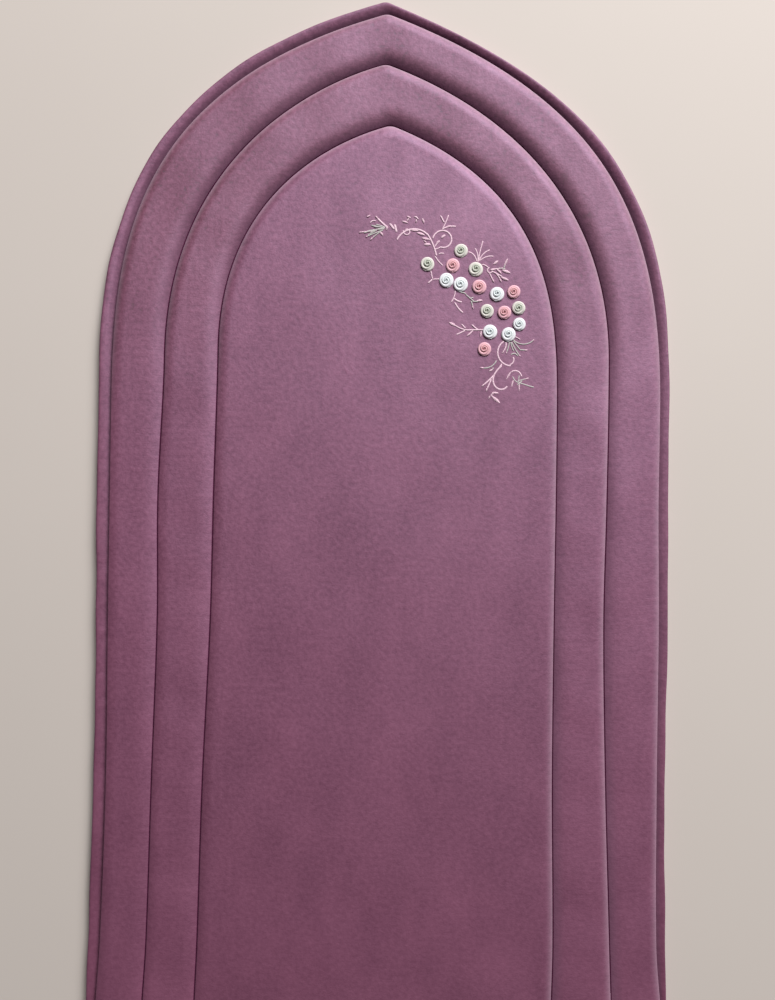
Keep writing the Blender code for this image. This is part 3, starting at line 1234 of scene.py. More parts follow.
@dataclass
class RolledEdge:
    """The base cloth and the rolled edge round it: a shallow tray in which the pads lie.

    Attributes:
        edge: Outline of the rug.
        seam: The seam inside the roll.
        bulge_z: Height where the roll is widest.
        roll_z: Height of its top.
        fall: How far it falls from its top to the seam in the arch.
        fall_power: How late it falls: more is later.
        tuck: How far its underside is tucked in, as a share of its width.
        roll_at: Where its top is, as a share of its width.
        inside: How far its outside stays inside the outline, as a share of its width.
        round_steps: Faces round each quarter of the roll.
        foot_steps: Faces along the foot.
        point_reach: How far the rounding of its point reaches on each side.
        waviness: The waves of its outline.
        puckers: Its gathers.
    """

    edge: SewnLine
    seam: SewnLine
    bulge_z: float = 0.0068
    roll_z: float = 0.0128
    fall: float = 0.0068
    fall_power: float = 1.6
    tuck: float = 0.34
    roll_at: float = 0.18
    inside: float = 0.02
    round_steps: int = 8
    foot_steps: int = 110
    point_reach: float = 0.005
    waviness: Waves = Waves(length=0.085, height=0.00035, seed=11)
    puckers: Puckers = Puckers(height=0.00030, seed=2)

    def _profile(self) -> np.ndarray:
        """Lays out the roll from below, round its outside and over its top.

        Returns:
            For each ring, the way across, the height, and the share of its fall to the seam.
        """
        turn = np.linspace(0, math.pi / 2, self.round_steps + 1)
        under = np.column_stack((self.tuck * (1 - np.sin(turn)), self.bulge_z * (1 - np.cos(turn))))
        rise = self.roll_z - self.bulge_z
        outer = np.column_stack((self.roll_at * (1 - np.cos(turn)), self.bulge_z + rise * np.sin(turn)))
        share = np.linspace(0, 1, self.round_steps + 1)[1:]
        inner = np.column_stack((mix(self.roll_at, 1.0, share), np.full(len(share), self.roll_z)))
        rings = np.vstack((under, outer[1:], inner))
        falls = np.concatenate((np.zeros(len(rings) - len(share)), share**self.fall_power))
        return np.column_stack((rings, falls))

    def _closed(self, line: np.ndarray) -> np.ndarray:
        """A sewn line with its run across the foot, from the right corner back to the left."""
        share = np.linspace(0, 1, self.foot_steps + 1)[1:-1, None]
        return np.vstack((line, mix(line[-1], line[0], share)))

    def build(self, finish: Material, crease_shade: Material) -> bpy.types.Object:
        """Makes the piece.

        Args:
            finish: Its velvet.
            crease_shade: The painted seam shade on the faces down in its seams.

        Returns:
            The new object.
        """
        outer = self._closed(self.edge.offset(0.0, self.point_reach))
        wall = self._closed(self.seam.offset(-RUG.gap / 2))
        waves = self.waviness.at(outer[:, 0], outer[:, 1])[:, None]
        outer = outer + (wall - outer) * (self.inside + waves / RUG.foot_edge)
        along = run_length(outer)
        rings = []
        places = []
        for across, height, fall in self._profile():
            plan = mix(outer, wall, across)
            away = np.linalg.norm(wall - plan, axis=1)
            lift = self.puckers.at(along, away) if height > self.bulge_z else 0.0
            rings.append(np.column_stack((plan, height + lift - self.fall * fall * drawn(plan[:, 1]))))
            places.append(np.column_stack((np.linalg.norm(plan - outer, axis=1), away)))
        rings.append(np.column_stack((wall, np.full(len(wall), RUG.base_thick))))
        places.append(np.column_stack((np.linalg.norm(wall - outer, axis=1), np.zeros(len(along)))))
        draft = Draft()
        grid = draft.add(np.stack(rings), np.stack(places))
        draft.weave(grid, wrap=True)
        draft.fill(grid[0][::-1])
        draft.fill(grid[-1])
        piece = draft.to_object("rolled_edge_and_base", finish)
        draft.shade_seam_faces(piece, crease_shade)
        return piece


@dataclass
class PaddedBand:
    """A padded band between two seams, with its crown falling off at both seams and at the foot.

    Attributes:
        name: Name of the piece.
        outer: The seam at its rim.
        inner: The seam at the foot of its slope.
        seed: What its waves and gathers are drawn from.
        columns: Faces across it.
        softening: How much further its point is rounded halfway across it.
        wave_length: Length of the foam's waves.
        wave_height: Height of the foam's waves.
        sink: How far the crown lies under its full height, so that the waves don't rise over it.
    """

    name: str
    outer: SewnLine
    inner: SewnLine
    seed: int
    columns: int = 36
    softening: float = 0.016
    wave_length: float = 0.075
    wave_height: float = 0.00035
    sink: float = 0.0003

    def _gathers(self, seams: tuple[np.ndarray, ...], away: tuple[np.ndarray, ...]) -> np.ndarray:
        """Height of the gathers along the band's seams.

        Args:
            seams: X and Y of each seam's stations.
            away: How far each point of the band is from each seam.

        Returns:
            The height at each point.
        """
        total = np.zeros_like(away[0])
        for number, (seam, distance) in enumerate(zip(seams, away)):
            total += Puckers(seed=self.seed + number).at(run_length(seam)[:, None], distance)
        return total

    def build(self, finish: Material, crease_shade: Material) -> bpy.types.Object:
        """Makes the piece.

        Args:
            finish: Its velvet.
            crease_shade: The painted seam shade on the faces down in its seams.

        Returns:
            The new object.
        """
        outer = inset(self.outer.stations(), RUG.gap / 2)
        inner = inset(self.inner.stations(), -RUG.gap / 2)
        foot_y = RUG.foot_seam_y + RUG.gap / 2
        for line in (outer, inner):
            line[[0, -1], 1] = foot_y
        across = (1 - np.cos(np.linspace(0, math.pi, self.columns + 1))) / 2
        along = from_point(outer)
        reaches = RUG.blunt + 4 * across * (1 - across) * self.softening
        lines = [blunted(mix(outer, inner, a), along, reach) for a, reach in zip(across, reaches)]
        plan = np.stack(lines, axis=1)
        from_rim = np.stack([distance_to(lines[0], line) for line in lines], axis=1)
        from_inside = np.stack([distance_to(lines[-1], line) for line in lines], axis=1)
        rise = RIM.rise(from_rim) * SLOPE.rise(from_inside) * RIM.rise(plan[..., 1] - foot_y)
        height = pad_height(plan, RUG.crown_z - RUG.swell * drawn(plan[..., 1]) * across, rise)
        softness = Waves(self.wave_length, self.wave_height, self.seed).at(plan[..., 0], plan[..., 1])
        gathers = self._gathers((outer, inner), (from_rim, from_inside))
        height = height + (softness - self.sink + gathers) * rise
        draft = Draft()
        top = draft.add(np.dstack((plan, height)), np.dstack((from_rim, np.minimum(from_rim, from_inside))))
        edges = plan[:, [0, -1]]
        under = draft.add(np.dstack((edges, np.full(edges.shape[:2], RUG.bed_z))))
        sections = np.hstack((under[:, :1], top, under[:, 1:]))
        draft.weave(sections[:, ::-1], wrap=True)
        draft.fill(sections[0])
        draft.fill(sections[-1][::-1])
        piece = draft.to_object(self.name, finish)
        draft.shade_seam_faces(piece, crease_shade)
        return piece


@dataclass
class CentrePanel:
    """The centre panel: a rolled rim round a top that is all but flat.

    Attributes:
        seam: The seam round it.
        rim_steps: Rings of faces on its rim.
        columns: Faces across it.
        point_spread: How much further its point is rounded, for each metre in from the seam.
        softness: The waves of the foam.
        puckers: Its gathers.
    """

    seam: SewnLine
    rim_steps: int = 16
    columns: int = 84
    point_spread: float = 1.2
    softness: Waves = Waves(length=0.11, height=0.00022, seed=31)
    puckers: Puckers = Puckers(seed=41)

    def _ring(self, line: np.ndarray, distance: float) -> np.ndarray:
        """The seam moved inward, with its foot corners kept square and its run across the foot added.

        Args:
            line: The seam.
            distance: How far it moves.

        Returns:
            X and Y of the ring's points: the moved seam, then the foot from right to left.
        """
        moved = blunted(inset(line, distance), from_point(line), RUG.blunt + self.point_spread * distance)
        foot_y = line[0, 1] + distance
        ends = CORNER_STEPS + STRAIGHT_STEPS
        lift = np.linspace(foot_y, RUG.straight_top, ends, endpoint=False)
        moved[:ends] = np.column_stack((np.full(ends, line[0, 0] + distance), lift))
        moved[-ends:] = np.column_stack((np.full(ends, line[-1, 0] - distance), lift[::-1]))
        share = np.linspace(0, 1, self.columns + 1)[1:-1, None]
        return np.vstack((moved, mix(moved[-1], moved[0], share)))

    def _height(self, plan: np.ndarray, from_side: np.ndarray, along: np.ndarray) -> np.ndarray:
        """Height of the top.

        Args:
            plan: X and Y of each point.
            from_side: How far it is from the side seam.
            along: How far along the seam it is.

        Returns:
            The height of each point.
        """
        foot_y = RUG.foot_seam_y + RUG.gap / 2
        rise = RIM.rise(from_side) * RIM.rise(plan[..., 1] - foot_y)
        soft = self.softness.at(plan[..., 0], plan[..., 1]) - self.softness.height
        gathers = self.puckers.at(along, from_side)
        return pad_height(plan, RUG.crown_z, rise) + (soft + gathers) * rise

    def _flat(self, draft: Draft, ring: np.ndarray, numbers: np.ndarray, along: np.ndarray) -> None:
        """Fills the inner ring with rows from its left side to its right side, up to its point.

        Args:
            draft: The draft that holds the ring.
            ring: Coordinates of the inner ring.
            numbers: Its point numbers.
            along: How far each of its points is along the seam.
        """
        stations = len(ring) - (self.columns - 1)
        half = stations // 2
        left = ring[1:half]
        right = ring[stations - 2 : half : -1]
        share = np.linspace(0, 1, self.columns + 1)[None, 1:-1, None]
        inner = mix(left[:, None, :2], right[:, None, :2], share)
        away = np.full(inner.shape[:2], CLEAR_OF_SEAMS)
        height = self._height(inner, away, along[1:half, None])
        middle = draft.add(np.dstack((inner, height)), np.dstack((away, away)))
        rows = np.hstack((numbers[1:half, None], middle, numbers[stations - 2 : half : -1, None]))
        foot = np.concatenate((numbers[:1], numbers[: stations - 1 : -1], numbers[stations - 1 : stations]))
        draft.weave(np.vstack((foot, rows)))
        for here, there in zip(rows[-1][:-1], rows[-1][1:]):
            draft.fill(np.array((here, numbers[half], there)))

    def build(self, finish: Material, crease_shade: Material) -> bpy.types.Object:
        """Makes the piece.

        Args:
            finish: Its velvet.
            crease_shade: The painted seam shade on the faces down in its seams.

        Returns:
            The new object.
        """
        line = inset(self.seam.stations(), RUG.gap / 2)
        stations = len(line)
        base = self._ring(line, 0.0)
        along = run_length(base)
        rings = [np.column_stack((base, np.full(len(base), RUG.bed_z)))]
        places = [np.zeros((len(base), 2))]
        for step in RIM.reach * (1 - np.cos(np.linspace(0, math.pi / 2, self.rim_steps + 1))):
            plan = self._ring(line, step)
            from_side = np.full(len(plan), step)
            foot = plan[stations:, 0]
            from_side[stations:] = np.minimum(foot - line[0, 0], line[-1, 0] - foot)
            rings.append(np.column_stack((plan, self._height(plan, from_side, along))))
            places.append(np.full((len(plan), 2), step))
        draft = Draft()
        grid = draft.add(np.stack(rings), np.stack(places))
        draft.weave(grid, wrap=True)
        draft.fill(grid[0][::-1])
        self._flat(draft, rings[-1], grid[-1], along)
        piece = draft.to_object("centre_panel_pad", finish)
        draft.shade_seam_faces(piece, crease_shade)
        return piece


# ---------------------------------------------------------------------------------------------------
# Ribbon roses
# ---------------------------------------------------------------------------------------------------


@dataclass
class RibbonRose:
    """A rose wound from a satin ribbon: an outer turn, tighter inner turns and a bud, on a round base.

    Attributes:
        node: The CAD node that it stands for.
        tuck: Where round the rose the ribbon's outer end is tucked in.
        turns: How often the ribbon goes round.
        steps_per_turn: Faces round one turn.
        lip_steps: Faces over the ribbon's rolled lip.
        winding: For some turns, the middle of the ribbon and half its width as shares of the rose's
            radius, and its height as a share of the rose's height.
        taper: Over how many turns each end of the ribbon thins.
        taper_to: Where the thinning stops, from 0 to 1, before taper_power bends it.
        width_ripple: How much the ribbon's width changes, and how fast round the rose.
        height_ripple: The same for its height.
        heart_from: Turn from which the heart moves to one side.
        heart_shift: How far it moves, as a share of the radius.
        heart_swing: How the side that it moves to follows from the tuck.
        lift: Height of the coil over the base's underside.
        tip: How far the outline stands out at the tucked end, as a share of the radius.
        tip_sharpness: How narrow that is.
        base_share: Radius of the base, as a share of the rose's.
        base_rings: Share of that radius, and height, of each ring of the base.
    """

    node: str
    tuck: float
    turns: float = 2.9
    steps_per_turn: int = 44
    lip_steps: int = 10
    winding: tuple[tuple[float, float, float, float], ...] = (
        # turns, middle of the ribbon, half its width, height
        (0.00, 0.770, 0.230, 0.44),
        (0.90, 0.760, 0.230, 0.52),
        (1.20, 0.560, 0.210, 0.68),
        (1.60, 0.470, 0.180, 0.80),
        (2.10, 0.340, 0.165, 0.92),
        (2.60, 0.190, 0.150, 1.00),
        (2.90, 0.070, 0.120, 1.00),
    )
    taper: float = 0.10
    taper_to: float = 0.15
    taper_power: float = 0.5
    width_ripple: Point = (0.08, 1.7)
    height_ripple: Point = (0.05, 2.3)
    heart_from: float = 0.8
    heart_shift: float = 0.09
    heart_swing: float = 2.4
    lift: float = 0.0002
    tip: float = 0.08
    tip_sharpness: int = 6
    base_share: float = 0.95
    base_rings: tuple[Point, ...] = ((0.92, 0.0), (0.98, 0.0004), (0.80, 0.0009), (0.35, 0.0010))

    def build(self, finish: Material) -> bpy.types.Object:
        """Makes the rose where its node is.

        Args:
            finish: Its satin.

        Returns:
            The new object.
        """
        low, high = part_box(self.node)
        radius = (high.x - low.x + high.y - low.y) / 4
        centre = np.array(((low.x + high.x) / 2, (low.y + high.y) / 2))
        draft = Draft()
        self._coil(draft, centre, radius, low.z, high.z - low.z)
        self._base(draft, centre, radius * self.base_share, low.z)
        return draft.to_object(self.node.replace("rosette", "ribbon_rose"), finish, sharp=80)

    def _outline(self, angle: np.ndarray) -> np.ndarray:
        """How far the rose's outline stands out at each angle, with a soft point at its tucked end."""
        toward = np.clip(np.cos(angle - math.radians(self.tuck)), 0, None)
        return 1 + self.tip * toward**self.tip_sharpness

    def _ripple(self, angle: np.ndarray, ripple: Point) -> np.ndarray:
        """A factor that goes a little up and down round the rose."""
        return 1 + ripple[0] * np.sin(angle * ripple[1] + self.tuck)

    def _coil(self, draft: Draft, centre: np.ndarray, radius: float, base_z: float, top: float) -> None:
        """Winds the ribbon inward from its tucked end, as one closed strip with a rolled lip.

        Args:
            draft: The draft that gets it.
            centre: X and Y of the rose's middle.
            radius: Radius of the rose.
            base_z: Height of its underside.
            top: Height of the rose over that.
        """
        turn = np.linspace(0, self.turns, int(self.turns * self.steps_per_turn) + 1)
        angle = math.radians(self.tuck) + turn * 2 * math.pi
        knots, *profile = np.array(self.winding).T
        middle, half, rise = (np.interp(turn, knots, values) for values in profile)
        middle = middle * radius * mix(1, self._outline(angle), np.clip(1 - turn, 0, 1))
        ends = np.minimum(turn, self.turns - turn) / self.taper
        ends = np.clip(ends, self.taper_to, 1) ** self.taper_power
        half = half * radius * self._ripple(angle, self.width_ripple) * ends
        rise = rise * top * self._ripple(angle, self.height_ripple) * ends
        bow = np.linspace(math.pi, 0, self.lip_steps + 1)
        out = middle[:, None] - np.cos(bow)[None] * half[:, None]
        inward = (np.clip(turn - self.heart_from, 0, 1) * self.heart_shift * radius)[:, None]
        aside = self.heart_swing * math.radians(self.tuck)
        x = centre[0] + out * np.cos(angle)[:, None] + inward * math.cos(aside)
        y = centre[1] + out * np.sin(angle)[:, None] + inward * math.sin(aside)
        z = base_z + self.lift + np.sin(bow)[None] * rise[:, None]
        along = np.broadcast_to((turn / self.turns)[:, None], x.shape)
        across = np.broadcast_to(np.sin(bow)[None], x.shape)
        grid = draft.add(np.dstack((x, y, z)), np.dstack((along, across)))
        draft.weave(grid, wrap=True)
        draft.fill(grid[0])
        draft.fill(grid[-1][::-1])

    def _base(self, draft: Draft, centre: np.ndarray, radius: float, base_z: float) -> None:
        """Makes the stitched disc under the coil, which closes the gaps between its turns.

        Args:
            draft: The draft that gets it.
            centre: X and Y of its middle.
            radius: Its radius.
            base_z: Height of its underside.
        """
        angle = np.linspace(0, 2 * math.pi, self.steps_per_turn, endpoint=False)
        outline = self._outline(angle)
        rings = []
        for share, height in self.base_rings:
            out = radius * share * outline
            x = centre[0] + out * np.cos(angle)
            y = centre[1] + out * np.sin(angle)
            rings.append(np.column_stack((x, y, np.full(len(angle), base_z + height))))
        grid = draft.add(np.stack(rings))
        draft.weave(grid[:, ::-1], wrap=True)
        draft.fill(grid[0][::-1])
        draft.fill(grid[-1])


# Where the ribbon of each rose is tucked in, from the first rose to the last.
ROSE_TUCKS = (-80, -115, -95, -110, -70, -95, -85, -105, -75, -90, -80, -60, -85, -100, -90, -95)


# ---------------------------------------------------------------------------------------------------
# Embroidery
# ---------------------------------------------------------------------------------------------------

MM = 0.001
PINK = Tone.PINK
SAGE = Tone.SAGE
KNOT = Tip.KNOT
BUD = Tip.BUD


@dataclass(frozen=True)
class Stem:
    """One embroidered stroke.

    Attributes:
        x: Where it starts across the rug, in millimetres.
        y: Where it starts up the rug, in millimetres.
        heading: Where it heads there.
        length: Its length in millimetres.
        turn: How far it has turned to the left at its end.
        tone: Colour of its thread.
        tip: What it ends in.
        width: Its width in millimetres.
        curl: How late it turns: more is later.
    """

    x: float
    y: float
    heading: float
    length: float
    turn: float
    tone: Tone = PINK
    tip: Tip = Tip.PLAIN
    width: float = 1.3
    curl: float = 1.0

    def path(self, step: float = 0.0006) -> np.ndarray:
        """Points along the stroke.

        Args:
            step: The distance between them.

        Returns:
            X, Y and heading of each point, in metres and radians.
        """
        length = self.length * MM
        count = max(int(length / step), 4)
        share = np.linspace(0, 1, count + 1)
        heading = np.radians(self.heading + self.turn * share**self.curl)
        middle = (heading[1:] + heading[:-1]) / 2
        x = self.x * MM + np.concatenate(((0,), np.cumsum(np.cos(middle)))) * length / count
        y = self.y * MM + np.concatenate(((0,), np.cumsum(np.sin(middle)))) * length / count
        return np.column_stack((x, y, heading))


@dataclass(frozen=True)
class Leaf:
    """A satin-stitched leaf or bud.

    Attributes:
        x: Its middle across the rug, in millimetres.
        y: Its middle up the rug, in millimetres.
        heading: Where its tip points.
        length: Its length in millimetres.
        width: Its width in millimetres.
        tone: Colour of its thread.
    """

    x: float
    y: float
    heading: float
    length: float
    width: float
    tone: Tone = PINK


@dataclass(frozen=True)
class Sprig:
    """A group of strokes and leaves that is stitched in one go."""

    name: str
    stems: tuple[Stem, ...]
    leaves: tuple[Leaf, ...] = ()


SPRIGS = (
    Sprig(
        "feather_spray",
        (
            Stem(-1, 342, 182, 19, 10, SAGE),
            Stem(0, 343, 166, 16, 6, SAGE),
            Stem(0, 344, 158, 11, 10, SAGE),
            Stem(-2, 341, 200, 19, 4, SAGE, KNOT),
            Stem(-3, 341, 216, 14, 6, SAGE, BUD),
            Stem(-7, 342, 192, 17, 6, SAGE),
            Stem(-9, 341, 214, 12, -10, SAGE),
            Stem(-13, 340, 186, 14, 2, tip=KNOT),
            Stem(-17, 348.5, 70, 8, -100),
            Stem(2.5, 344, 142, 15, -8, width=2.0, tip=BUD),
        ),
        (
            Leaf(-5, 342, 184, 8, 3.2, SAGE),
            Leaf(-4, 337, -52, 5.5, 2.6),
            Leaf(2, 343.4, 70, 4.6, 2.8),
            Leaf(-18.5, 356.2, 205, 4.5, 2.0),
            Leaf(-10, 344.5, 172, 6, 2.2, SAGE),
            Leaf(-14, 339, 200, 6, 2.4, SAGE),
        ),
    ),
    Sprig(
        "scroll_and_leaves",
        (
            Stem(5, 348.5, -52, 8, 0, width=2.2),
            Stem(10.5, 347.5, -74, 9, -4, width=2.4),
            Stem(13, 330, 66, 42, -114, width=1.8),
            Stem(20, 341, -96, 21, 330, width=1.4, curl=1.2),
            Stem(32, 356.5, 8, 6, -90, width=1.5),
        ),
        (
            Leaf(33, 340.9, -4, 8, 2.4),
            Leaf(39.6, 337.2, -18, 9, 3.0),
            Leaf(45.4, 331.8, -12, 9, 3.0),
            Leaf(47, 325.6, -4, 7, 3.4),
            Leaf(22, 350.2, -18, 6.5, 2.4),
            Leaf(26, 355.6, -28, 4.6, 2.2),
            Leaf(25.2, 352.8, 48, 4, 2.0),
            Leaf(34.4, 351.6, 76, 3.8, 1.8),
            Leaf(42, 352, -72, 5.5, 2.4),
            Leaf(44.5, 328.6, -40, 4, 1.8),
        ),
    ),
    Sprig(
        "coiled_tendril",
        (
            Stem(47, 337, -56, 26, -22, width=1.7),
            Stem(55.5, 313, -62, 14, 24),
            Stem(52.5, 332, 74, 50, -282, width=1.7, curl=1.15),
            Stem(55, 323, 62, 9, -24, width=1.5),
            Stem(54, 320, 8, 8, 24),
            Stem(59, 315, 40, 7, -70),
            Stem(63, 342, 62, 18, 10),
            Stem(65.3, 350, 116, 9, 4, width=1.5),
            Stem(63, 342.6, 34, 16, -44, width=1.6),
        ),
        (
            Leaf(64.5, 334.8, 28, 5.5, 3.2),
            Leaf(71, 345.9, 2, 5.5, 2.4),
            Leaf(58.6, 328.4, 40, 5, 2.4),
        ),
    ),
    Sprig(
        "upright_tuft",
        (
            Stem(102, 307, 106, 16, 76, curl=1.8),
            Stem(103, 307, 86, 16, 42, curl=1.5),
            Stem(103.5, 307, 84, 24, -12),
            Stem(104, 308, 66, 18, -50, curl=1.4),
            Stem(104.5, 308, 38, 17, -50, curl=1.6),
        ),
    ),
    Sprig(
        "budded_twig",
        (
            Stem(107, 304.5, -5, 9, -42),
            Stem(116, 301, 190, 14, 250),
            Stem(117, 299, 4, 14, 4),
            Stem(125, 300, 10, 9, -30, SAGE),
            Stem(131.5, 300, 70, 5, -6, SAGE),
            Stem(116, 295, -66, 8, 4, tip=BUD),
            Stem(121.5, 296, -36, 10, -30, tip=BUD),
            Stem(118, 297, -22, 14, -10),
        ),
        (
            Leaf(123, 306.5, 34, 6.5, 3.0),
            Leaf(134.2, 307, 64, 9, 2.6),
            Leaf(134.6, 296.7, -22, 9.5, 3.4),
            Leaf(126.5, 297, -46, 7.5, 2.6),
            Leaf(133.2, 288.6, -24, 8.5, 3.0),
            Leaf(120, 298.6, 8, 6, 2.2),
        ),
    ),
    Sprig(
        "forked_twig",
        (
            Stem(51, 297, -78, 10, 0),
            Stem(53, 287, 220, 6.5, 0, width=1.6),
            Stem(53, 287, 8, 8, -10),
        ),
    ),
    Sprig(
        "trailing_twigs",
        (
            Stem(78.5, 275, -92, 14, -34),
            Stem(77, 266.5, -48, 10, 46, width=1.8),
            Stem(78, 262, -66, 15, 30, width=1.6),
            Stem(84, 273, 12, 7, -54, SAGE),
            Stem(90, 271, -42, 12, 4, SAGE),
            Stem(94, 266, 34, 5, -30, SAGE),
            Stem(96, 264, -68, 6, -10, SAGE, BUD),
            Stem(97, 263.5, -18, 7, 36, SAGE),
        ),
        (
            Leaf(105.4, 264.2, 4, 6.5, 2.6),
        ),
    ),
    Sprig(
        "side_spray",
        (
            Stem(111, 232, 181, 20, 2, width=1.5),
            Stem(92, 231.5, 176, 15, -34, width=1.4),
            Stem(90.5, 233, 130, 7, 8, width=1.4),
            Stem(90, 231, 208, 11, -4, width=1.6),
            Stem(104, 232, 150, 9, -20, width=1.5),
            Stem(99, 231, 216, 5, 0, width=1.4),
        ),
        (
            Leaf(75.5, 237.8, 150, 8, 3.4),
            Leaf(107.4, 227.3, 262, 6.5, 2.4),
            Leaf(94.4, 226.8, 216, 6.5, 2.2),
        ),
    ),
    Sprig(
        "sage_tuft",
        (
            Stem(142, 225, 0, 10, -44, width=1.1),
            Stem(142.5, 222, -50, 25, 92, SAGE, KNOT),
            Stem(143.5, 220, -58, 12, 12, SAGE),
            Stem(150, 210.4, -6, 6, 4, SAGE, BUD),
            Stem(141.5, 219, -68, 17, 16, SAGE, KNOT),
            Stem(140.5, 219, -84, 11, 24, SAGE),
            Stem(139, 219, -98, 12, -12, SAGE, KNOT),
            Stem(140.5, 204.5, 55, 10, -130, SAGE),
        ),
    ),
    Sprig(
        "double_scroll",
        (
            Stem(133, 219.5, 212, 38, 148, width=1.7),
            Stem(135.3, 218.5, -82, 10, -42, width=1.5, tip=BUD),
            Stem(139, 193.2, 8, 12, 112, width=1.5),
            Stem(131, 192.6, 222, 43, 200, width=1.8, curl=1.8),
            Stem(131, 194.5, 250, 5, -40, width=1.4),
        ),
    ),
    Sprig(
        "lower_left_spray",
        (
            Stem(125, 198, 246, 18, -72, SAGE, BUD, 1.4),
            Stem(122, 190, 225, 3, 0, SAGE),
            Stem(121.5, 181, 228, 14, -8, tip=BUD, width=1.8),
            Stem(119.5, 177, 244, 11, 4, tip=BUD, width=1.6),
        ),
        (
            Leaf(118.8, 187, 205, 4.5, 2.2),
        ),
    ),
    Sprig(
        "sage_sprig",
        (
            Stem(141, 185.5, 40, 16, -126, width=1.5),
            Stem(148, 175.5, 16, 10, -2, SAGE, BUD),
            Stem(148.5, 174.5, -20, 19, 6, SAGE, width=1.4),
            Stem(143, 181, -80, 10, 62, SAGE),
            Stem(150.5, 182, -104, 9, 14, SAGE),
            Stem(150.6, 175, -92, 4, 0, SAGE),
            Stem(154, 176, -150, 8, 20, SAGE),
        ),
        (
            Leaf(138.6, 181.6, 240, 9.5, 2.4),
            Leaf(150.4, 168.6, -92, 8.5, 2.0),
            Leaf(142.8, 172.8, 254, 8, 2.2),
        ),
    ),
    Sprig(
        "hanging_buds",
        (
            Stem(118.6, 160, 40, 4, -40),
            Stem(119.5, 160.5, -75, 3.5, 20),
        ),
        (
            Leaf(124, 162.2, -6, 7.5, 2.6),
            Leaf(125, 154.6, -42, 11, 3.8),
            Leaf(117.6, 157.4, 62, 3.8, 1.8),
        ),
    ),
)


